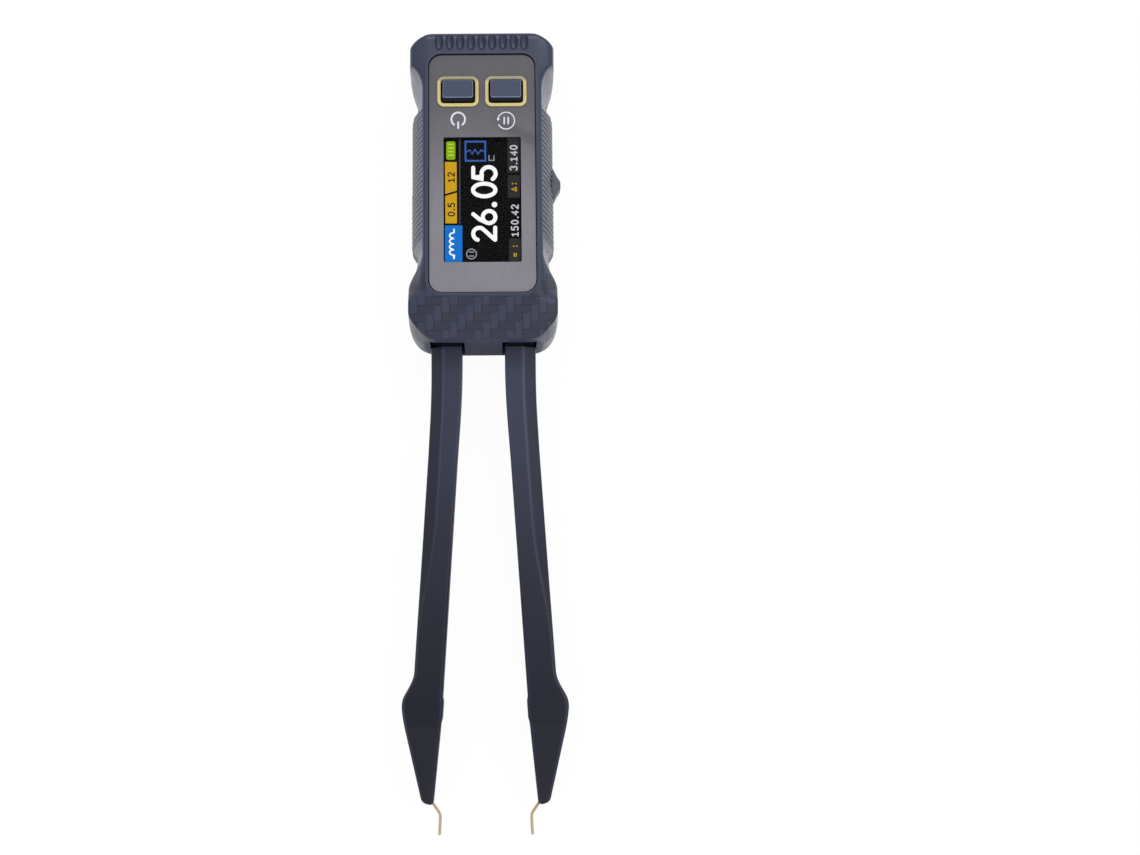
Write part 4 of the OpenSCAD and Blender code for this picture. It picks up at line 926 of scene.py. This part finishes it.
def rib_valley_shade(s):
    """Share of painted shade between the ribs of the grips; the same share makes them rougher."""
    lean = (s.z - (SHOULDER_Z + WIDE_Z) / 2) * math.tan(math.radians(RIB_SLANT))
    along = (s.y - RIB_Y - lean) / RIB_PITCH
    valley = s.ramp(s.wave("COSINE", along + RIB_COUNT / 2, 1), -0.6, 1.0)
    side = s.ramp(abs(s.x), SIDE_X - 0.35, SIDE_X - 0.2)
    within = (along > -RIB_COUNT / 2 - 0.5) * (s.y < PAD_HEAD_Y)
    below = (s.z < SHOULDER_Z + 0.2) * (s.z > RIB_LOW_Z)
    return valley * side * (within * below)


def arm_plastic():
    """The arms' plastic, with painted shade darkening it towards the tips."""
    s = Shade("arm_plastic")
    grain, broad = s.noise(5.0, 3), s.noise(0.15, 2)
    # Painted shade: the colour darkens towards the tips
    colour = s.mix(s.ramp(s.y, -35, -118), tone(*ARM_TONE), tone(*ARM_TIP_SHADED_TONE))
    # Painted light: the arms are darker on the left and lighter on the right
    shade = (0.92 + (grain + broad) * 0.08) * s.ramp(s.x, -9, 9, 0.9, 1.06)
    # Depth below the top face, which slopes down at the tips
    slope = s.least(s.most((BULGE_Y - 3 - s.y) / 15 * TIP_FALL, 0), TIP_FALL)
    below = ARM_TOP - slope - s.z
    # Painted highlight along the crease at the top face's edge, strongest over the tips' bevels; painted
    # shade on the sloping facets, and the top face painted lighter towards the root
    crease = s.ramp(below, 0.01, 0.06) * s.ramp(below, 0.22, 0.4, 1, 0)
    facet = s.choose(s.ramp(below, 0.15, 0.4), s.ramp(s.y, -35, -80, 1.3, 1.0), 0.85)
    painted_highlight = 1.0 + crease * s.ramp(s.y, BULGE_Y + 20, BULGE_Y - 5, 0.5, 2.2)
    return s.finish(s.scaled(colour, shade * (facet * painted_highlight)), 0.3 + broad * 0.1, Normal=s.bump(grain, 0.005))


def button_plastic():
    """The case's plastic with a smoother face, painted shade down the sides and a painted highlight under the
    top's edge.
    """
    s = Shade("button_plastic")
    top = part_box("button_power")[1].z / MM
    # Painted highlight in a narrow band just under the top, and painted shade further down the sides
    crease = s.ramp(s.z, top - 0.15, top - 0.1) * s.ramp(s.z, top - 0.05, top - 0.01, 1, 0)
    shade = s.ramp(s.z, top - 0.22, top - 0.14, 0.1, 1.0) + crease * 2.6
    return trim(s, tone(*BUTTON_TONE), shade, 0.3, 5, 0.003)


def bezel_plastic():
    """Yellow plastic, with painted shade making it greyer and darker on the side towards the head end."""
    s = Shade("yellow_bezel")
    hi_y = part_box("bezel_power")[1].y / MM
    colour = s.mix(s.ramp(s.y, hi_y - 1.2, hi_y - 0.6), tone(*BEZEL_TONE), tone(*BEZEL_SHADED_TONE))
    return trim(s, colour, 1, 0.38, 4, 0.008)


def jog_plastic():
    """Grey plastic, with painted shade down the sides."""
    s = Shade("jog_plastic")
    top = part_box("jog_cap")[1].z / MM
    # Painted shade: darker down the sides
    return trim(s, tone(*JOG_TONE), s.ramp(s.z, top - 0.3, top - 0.06, 0.35, 1.0), 0.5, 5, 0.004)


def brushed_panel():
    """Aluminium sheet, brushed along the case, with a painted reflection lighter towards the arm end and a
    painted shadow band slanting across its right side.
    """
    s = Shade("brushed_panel")
    lines = s.noise(7.0, 5, 0.7, s.stretched(1, 0.03, 1))
    coarse = s.noise(0.9, 3, 0.6, s.stretched(1, 0.12, 1))
    shade = (0.86 + lines * 0.14) * (0.93 + coarse * 0.14) * (0.9 + s.noise(0.11, 2, 0.5) * 0.2)
    # Painted shadow: a darker band slanting across the right side
    band = s.ramp(abs(s.x * 0.49 + s.y - PANEL_SHADE_BAND), 0.2, 2.4, 0.74, 1.0)
    # Painted reflection: darker towards the head end, lighter towards the arm end
    shade = shade * s.ramp(s.y, 21, -10, *PANEL_REFLECTION_FADE) * s.choose(s.ramp(s.x, 0, 6), 1.0, band)
    return s.finish(s.scaled(tone(*PANEL_TONE), shade), 0.34 + lines * 0.16, 0.3, Normal=s.bump(lines, 0.004),
                    IOR=1.5)


def clear_plastic():
    s = Shade("clear_window")
    clear = s.node("BsdfTransparent", ((0.94, 0.94, 0.95, 1),))
    gloss = s.node("BsdfGlossy", {"Roughness": 0.03 + s.noise(0.4) * 0.05})
    blend = s.node("MixShader", (s.node("Fresnel", {"IOR": 1.12}), clear, gloss))
    plug(s.tree, s.tree.nodes["Material Output"], {"Surface": blend})
    return s.material


def glowing(name, colour, level=1.0):
    """A lit part of the screen, with the fine rows of its dots."""
    s = Shade(name)
    light = (0.97 + s.wave("SINE", s.y, DOT_ROW) * 0.03) * level
    return s.finish((0.01, 0.01, 0.01, 1), 0.5, Specular_IOR_Level=0.05, Emission_Color=tone(*colour),
                    Emission_Strength=light)


# ---- panel, buttons and small parts ----

def refine(node, body, shade, width=0.06, segments=2, angle=30, crease=35):
    """The CAD node's own shape with its edges broken."""
    piece = duplicate(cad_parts[node])
    piece.name = node + "_detail"
    piece.data.name = piece.name
    piece.modifiers.clear()
    bm = bmesh.new()
    bm.from_mesh(piece.data)
    bmesh.ops.remove_doubles(bm, verts=bm.verts, dist=1e-7)
    bmesh.ops.dissolve_limit(bm, angle_limit=math.radians(1.5), verts=bm.verts, edges=bm.edges)
    bm.to_mesh(piece.data)
    bm.free()
    if width:
        bevel_edges(piece, width, segments, angle)
    finished(piece, node, body, shade, crease)
    return piece


def make_button(node, body, shade):
    """Cap with soft edges and a sloping side towards the arms."""
    lo, hi = (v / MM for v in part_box(node))
    x, y, top = (lo.x + hi.x) / 2, (lo.y + hi.y) / 2, hi.z
    w, l = 6.2, 4.25
    rings = []
    levels = [(0, 0, 0, -2.5), (0, 0, 0, -0.75), (0.02, 0.1, 0.02, -0.66), (0.1, 0.52, 0.07, -0.16),
              (0.14, 0.6, 0.1, -0.08), (0.2, 0.7, 0.15, -0.025), (0.28, 0.82, 0.22, 0)]
    for side, south, north, down in levels:
        outline = round_outline(w - 2 * side, l - south - north, 0.45, 6)
        rings.append([(x + px, y + py + (south - north) / 2, top + down) for px, py in outline])
    cap = capped(node + "_cap", rings)
    flange = round_prism("flange", (x, y), hi.x - lo.x, hi.y - lo.y, 0.5, FLANGE_Z, FLANGE_Z + 0.6)
    stem = rod("stem", x, y, 1.1, lo.z, FLANGE_Z + 0.3)
    carve(cap, [flange, stem], "UNION")
    finished(cap, node, body, shade, 50)


def make_jog_cap(shade):
    """Rocker cap with soft edges and three shallow finger grooves across its flat."""
    lo, hi = (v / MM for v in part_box("jog_cap"))
    y, reach, half_len = (lo.y + hi.y) / 2, hi.x, (hi.y - lo.y) / 2
    slope = reach - 1.6
    near = [(lo.x, half_len - 0.2), (slope, half_len), (reach - 0.75, 1.8), (reach - 0.25, 1.05),
            (reach, 0.6)]
    outline = [(px, y + py) for px, py in near] + [(px, y - py) for px, py in near[::-1]]
    cap = prism("jog_cap_shape", outline, lo.z, hi.z)
    outward(cap)
    bevel_edges(cap, 0.22, 3, 20)
    cutters = [block("hollow", lo.x - 1, JOG_PIVOT_X + 1.1, y - 1.55, y + 1.55, lo.z + 0.55, hi.z - 0.65),
               rod("pin_hole", JOG_PIVOT_X, y, 0.39, lo.z + 0.1, hi.z - 0.2)]
    cutters += [rod("groove", reach + 0.33, y + k * 0.55, 0.42, lo.z - 1, hi.z + 1) for k in (-1, 0, 1)]
    carve(cap, cutters)
    finished(cap, "jog_cap", "jog_cap", shade, 40)


def make_screen(glass):
    """The display glass, a hair below the window so that its lit parts fit between them."""
    lo, hi = (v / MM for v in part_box("lcd_glass"))
    mid = (lo + hi) / 2
    pane = round_prism("lcd_pane", (mid.x, mid.y), hi.x - lo.x, hi.y - lo.y, 0.4, lo.z, SCREEN_Z)
    outward(pane)
    finished(pane, "lcd_glass", "root", glass, 40)


# ---- printed and lit signs ----

STROKE_RISE = 0.0001

def on_plane(u, v, z):
    """The point in millimetres at height z that the camera sees at a pixel of the picture."""
    right, up, look = camera_axes()
    ray = look + right * ((u - OPTICAL_CENTRE_PX) / FOCAL_PX) + up * ((IMAGE_H / 2 - v) / FOCAL_PX)
    p = CAMERA_AT + ray * ((z - CAMERA_AT.z) / ray.z)
    return p.x, p.y


def arc(cx, cy, rx, ry, a0, a1, n=18):
    return [(cx + rx * math.cos(math.radians(a)), cy + ry * math.sin(math.radians(a)))
            for a in np.linspace(a0, a1, n)]


def ribbon(path, width, closed=False):
    """Outline of a pen stroke along a path: quads, with round ends if the path is open."""
    p = np.asarray(path, dtype=float)
    n = len(p)
    if closed:
        d = np.roll(p, -1, 0) - np.roll(p, 1, 0)
    else:
        d = np.gradient(p, axis=0)
    d /= np.maximum(np.linalg.norm(d, axis=1, keepdims=True), 1e-9)
    ahead = (np.roll(p, -1, 0) - p) if closed else np.diff(p, axis=0, append=p[-1:] + d[-1:])
    ahead /= np.maximum(np.linalg.norm(ahead, axis=1, keepdims=True), 1e-9)
    side = np.stack([-d[:, 1], d[:, 0]], 1)
    spread = np.clip(np.abs((d * ahead).sum(1)), 0.6, 1)[:, None]
    left, right = p + side * width / 2 / spread, p - side * width / 2 / spread
    quads = [[left[i], right[i], right[(i + 1) % n], left[(i + 1) % n]]
             for i in range(n if closed else n - 1)]
    if not closed:
        for k in (0, -1):
            quads.append([p[k] + width / 2 * np.array([math.cos(a), math.sin(a)])
                          for a in np.linspace(0, 2 * np.pi, 16, endpoint=False)])
    return quads


def sign(name, shapes, z0, z1, shade):
    """Flat shapes, each an outline in the case's plane, as one thin printed or lit piece. Where two of them
    overlap, the later one lies a trace higher."""
    points, faces = [], []
    for k, shape in enumerate(shapes):
        top = z1 + k * STROKE_RISE
        shape = [tuple(q) for q in shape]
        area = sum(a[0] * b[1] - b[0] * a[1] for a, b in zip(shape, shape[1:] + shape[:1]))
        if area < 0:
            shape = shape[::-1]
        base, n = len(points), len(shape)
        points += [(x, y, z0) for x, y in shape] + [(x, y, top) for x, y in shape]
        faces += [tuple(range(base, base + n))[::-1], tuple(range(base + n, base + 2 * n))]
        faces += [(base + i, base + (i + 1) % n, base + n + (i + 1) % n, base + n + i) for i in range(n)]
    piece = mesh_object(name, points, faces)
    piece.data.materials.append(shade)
    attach(piece, "root")
    return piece


GLYPHS = {
    "0": [(arc(0.3, 0.5, 0.26, 0.46, 0, 345, 24), True)],
    "1": [([(0.12, 0.74), (0.34, 0.95), (0.34, 0.05)], False), ([(0.1, 0.05), (0.56, 0.05)], False)],
    "2": [(arc(0.3, 0.7, 0.25, 0.25, 165, -35, 14) + [(0.06, 0.06)], False),
          ([(0.06, 0.05), (0.56, 0.05)], False)],
    "3": [(arc(0.28, 0.73, 0.24, 0.23, 150, -80, 14) + arc(0.27, 0.27, 0.28, 0.24, 75, -150, 16), False)],
    "4": [([(0.42, 0.05), (0.42, 0.95), (0.05, 0.3), (0.58, 0.3)], False)],
    "5": [([(0.52, 0.95), (0.14, 0.95), (0.1, 0.55)] + arc(0.28, 0.32, 0.27, 0.29, 110, -145, 16), False)],
    "6": [(arc(0.3, 0.3, 0.25, 0.26, 0, 345, 20), True), ([(0.42, 0.95), (0.2, 0.68), (0.07, 0.4)], False)],
    "7": [([(0.05, 0.95), (0.56, 0.95), (0.22, 0.05)], False)],
    "8": [(arc(0.3, 0.73, 0.22, 0.22, 0, 342, 20), True), (arc(0.3, 0.28, 0.26, 0.24, 0, 342, 20), True)],
    "9": [(arc(0.3, 0.7, 0.25, 0.26, 0, 345, 20), True), ([(0.18, 0.05), (0.4, 0.32), (0.53, 0.6)], False)],
    ".": [(arc(0.12, 0.08, 0.03, 0.03, 0, 330, 10), True)],
    "=": [([(0.1, 0.36), (0.5, 0.36)], False), ([(0.1, 0.64), (0.5, 0.64)], False)],
    ":": [(arc(0.3, 0.28, 0.02, 0.02, 0, 330, 8), True), (arc(0.3, 0.72, 0.02, 0.02, 0, 330, 8), True)],
    "^": [([(0.08, 0.2), (0.3, 0.85), (0.52, 0.2), (0.08, 0.2)], False)],
}


def written(text, u, v, size, pen, z, step=0.78, narrow=1.0):
    """Figures that run up the picture from pixel (u, v), which is the foot of the first one.
    Sizes are in pixels."""
    shapes = []
    at = v
    for mark in text:
        for path, closed in GLYPHS[mark]:
            for quad in ribbon([(px * narrow, py) for px, py in path], pen / size, closed):
                shapes.append([on_plane(u - py * size, at - px * size, z) for px, py in quad])
        at -= size * (0.42 if mark in ".:" else step * narrow)
    return shapes


def band(u0, v0, u1, v1, z, corner=0.0):
    """A rectangle between two pixels, with its corners rounded by some pixels."""
    if not corner:
        return [on_plane(u, v, z) for u, v in ((u0, v0), (u0, v1), (u1, v1), (u1, v0))]
    outline = round_outline(u1 - u0, v1 - v0, corner, 5)
    return [on_plane((u0 + u1) / 2 + x, (v0 + v1) / 2 + y, z) for x, y in outline]


def stroke(path, width, z, closed=False):
    """A pen stroke along pixels of the picture."""
    return [[on_plane(u, v, z) for u, v in quad] for quad in ribbon(path, width, closed)]


def show_screen():
    """A made-up reading: numbers, a coil sign and bars, in the layout that such testers use."""
    z, lift = SCREEN_Z, 0.012

    def lit(name, shapes, shade, level=1):
        foot = z + lift * (level - 1) + 0.001
        sign("screen_" + name, shapes, foot, z + lift * level, shade)

    white, dim = glowing("lit_white", (252, 252, 252), 1.15), glowing("lit_grey", (150, 152, 155))
    amber, dark = glowing("lit_amber", (205, 160, 38)), glowing("lit_dark", (24, 22, 14), 0.5)
    lit("tab_blue", [band(444.9, 225.4, 462.4, 262, z)], glowing("lit_blue", (0, 119, 214)))
    tabs = (((444.9, 162), (456.6, 162), (456.8, 190.6), (445.2, 194)),
            ((445.2, 196), (456.8, 192.6), (457, 223.4), (445.4, 223.4)))
    lit("tabs_yellow", [[on_plane(*p, z) for p in tab] for tab in tabs],
        glowing("lit_yellow", (216, 167, 18)))
    lit("battery", [band(446.2, 141.4, 455.4, 159.8, z, 2)], glowing("lit_green", (138, 181, 0)))
    lit("battery_cells", [band(448, v, 453.6, v + 1.6, z, 0.6) for v in (143.6, 147.2, 150.8, 154.4)],
        glowing("lit_lime", (190, 224, 60)), 2)
    lit("line", [band(459, 139.5, 460.4, 224, z)], glowing("lit_line", (70, 70, 72)))
    frame_path = [(465.4, 141.6), (485.2, 141.6), (485.4, 160.8), (465.6, 160.8)]
    trace = [(466.5, 152), (470, 150), (472, 154), (475, 149.5), (478, 154), (481, 150), (484, 151.5)]
    lit("box", stroke(frame_path, 1.8, z, True) + stroke(trace, 1.2, z), glowing("lit_frame", (52, 98, 178)))
    boxes = ((507.6, 138, 519.4, 172.6), (507.8, 175.2, 520, 197.6), (509, 238.4, 521, 261.6))
    lit("boxes", [band(*ends, z, 1) for ends in boxes], glowing("lit_box", (42, 42, 42)))
    lit("reading", written("26.05", 496.4, 241.2, 24.4, 4.0, z, 0.69), white)
    small = (7.2, 1.25, z)
    lit("values", written("3.140", 517.2, 170.2, *small, 0.86, 0.95)
        + written("150.42", 518.4, 236.6, *small, 0.9, 0.95), glowing("lit_small", (212, 212, 214)), 2)
    lit("labels", written("^:", 517.8, 191.4, *small) + written("=", 518.8, 257, *small)
        + written(":", 518.8, 248.4, *small), amber, 2)
    lit("mark", stroke([(489, 155.6), (489, 160.4), (494, 160.4), (494, 155.6)], 1.1, z), dim)
    lit("tab_figures", written("12", 454.6, 182.6, 7, 1.2, z, 0.85)
        + written("0.5", 454.8, 216.2, 7, 1.2, z, 0.85), dark, 2)
    coil = [(454, 258.5), (454, 255.2)]
    for k in range(4):
        coil += [(454 - 4.4 * math.sin(t), 255.2 - 5.6 * k - 2.8 * (1 - math.cos(t)))
                 for t in np.linspace(0.25, math.pi, 9)]
    lit("coil", stroke(coil + [(454, 229.4)], 1.5, z), white, 2)
    ring = stroke(arc(471.5, 254, 4.9, 4.9, 0, 348, 30), 1.2, z, True)
    for v in (252, 256):
        ring += stroke([(469.6, v), (473.4, v)], 1.3, z)
    lit("ring", ring, dim)


def print_icons():
    """A power sign and a ring with two bars, printed on the panel."""
    z = PANEL_Z
    ink = moulded("printed_ink", INK_TONE, 0.5, 6, 0.002, 0.04)
    power = stroke(arc(458.2, 119.3, 6.8, 6.8, 128, 412, 40), 1.8, z)
    power += stroke([(458.2, 122.4), (458.2, 128)], 1.9, z)
    ring = stroke(arc(506.1, 120.6, 8.4, 8.4, -160, 150, 40), 1.15, z)
    ring += [[on_plane(*p, z) for p in arc(498.2, 119.2, 1.3, 1.3, 0, 330, 12)]]
    for u in (504.2, 508.2):
        ring += stroke([(u, 117.6), (u, 123.6)], 1.5, z)
    for name, shapes in (("icon_power", power), ("icon_ring", ring)):
        sign(name, shapes, z, z + 0.015, ink)


# ---- everything together ----

def dress_inside():
    """Finishes for the CAD pieces that keep their own shape."""
    steel = metal("steel", (196, 198, 202), 0.3, (1, 1, 0.2), 5)
    brass = metal("brass", (222, 190, 110), 0.3, (1, 0.2, 1), 5)
    spring = metal("spring_steel", (176, 178, 184), 0.25, (1, 1, 1), 6)
    black = moulded("black_plastic", (34, 34, 37), 0.5)
    white = moulded("white_plastic", (226, 226, 222), 0.4)
    red = moulded("red_plastic", (206, 76, 52), 0.4)
    looks = {
        "lcd_backlight": white, "lcd_flex": moulded("polyimide", (196, 120, 36), 0.35, 3, 0.004, 0.12),
        "main_board": circuit_board(), "processor_chip": black, "power_chips": black,
        "board_parts": moulded("ceramic_parts", (168, 140, 104), 0.4, 2.5, 0.01, 0.2),
        "switch_power": black, "switch_hold": black, "jog_switch_body": black, "usb_tongue": black,
        "battery_cell": metal("battery_foil", (206, 208, 212), 0.35, (0.3, 1, 1), 1.5, 0.01),
        "battery_pad": moulded("foam", (228, 222, 204), 0.9, 3, 0.08, 0.1),
        "battery_leads": moulded("lead_insulation", (186, 34, 26), 0.4), "battery_plug": white,
        "plunger_power": red, "plunger_hold": red, "jog_slider": white,
    }
    pairs = {"pivot_pin_": steel, "arm_spring_": spring, "pivot_terminal_": brass, "contact_strip_": brass,
             "tip_socket_": brass}
    for node, shade in pairs.items():
        looks[node + "left"] = looks[node + "right"] = shade
    for node, shade in looks.items():
        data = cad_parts[node].data
        data.materials.clear()
        data.materials.append(shade)
    for node, body, edge in (("case_screws", "root", 0.1), ("board_screws", "root", 0.06),
                             ("arm_screws_left", "arm_left", 0.06), ("arm_screws_right", "arm_right", 0.06),
                             ("usb_socket", "root", 0.05)):
        refine(node, body, steel, edge)


def circuit_board():
    """Green board with faint tracks under the solder mask and rows of small pads."""
    s = Shade("circuit_board")
    grid_x = s.math("PINGPONG", s.x, 0.7)
    grid_y = s.math("PINGPONG", s.y + s.math("FLOOR", s.x / 2.8) * 0.9, 0.9)
    track = (grid_x > 0.5) * (s.noise(0.25) > 0.48)
    pad = (grid_x < 0.22) * (grid_y < 0.2) * (s.noise(0.18) > 0.56)
    colour = s.mix(pad, s.mix(track, tone(22, 84, 52), tone(38, 112, 66)), tone(205, 200, 186))
    return s.finish(colour, 0.35, pad * 0.9, Normal=s.bump(track + pad, 0.02))


add_camera()
add_world(1.12, 0.28)
area_light("head_end", (0.15, 0.62, 0.75), (0, 0, 0), (0.7, 0.3), 2.2)
area_light("right", (0.55, 0.05, 0.7), (0, -0.03, 0), (0.3, 0.6), 0.55)
area_light("crease", (0.05, -0.42, 0.8), (0, 0, 0), (0.5, 0.06), 0.3)
add_floor()
bpy.context.scene.view_settings.view_transform = "Standard"

make_shells(case_plastic())
make_arms(arm_plastic(), metal("gold", PIN_TONE, 0.4, (1, 0.15, 1), 5, share=0.35))
make_screen(moulded("display_glass", (13, 13, 14), 0.4, 1, 0.001, 0.05, Specular_IOR_Level=0.08))
refine("front_panel", "root", brushed_panel(), 0.07)
refine("screen_window", "root", clear_plastic(), 0)
bezel, button = bezel_plastic(), button_plastic()
for name in ("power", "hold"):
    refine("bezel_" + name, "root", bezel, 0.09, 3)
for name in ("power", "hold"):
    make_button("button_" + name, "button_" + name, button)
make_jog_cap(jog_plastic())
dress_inside()
show_screen()
print_icons()
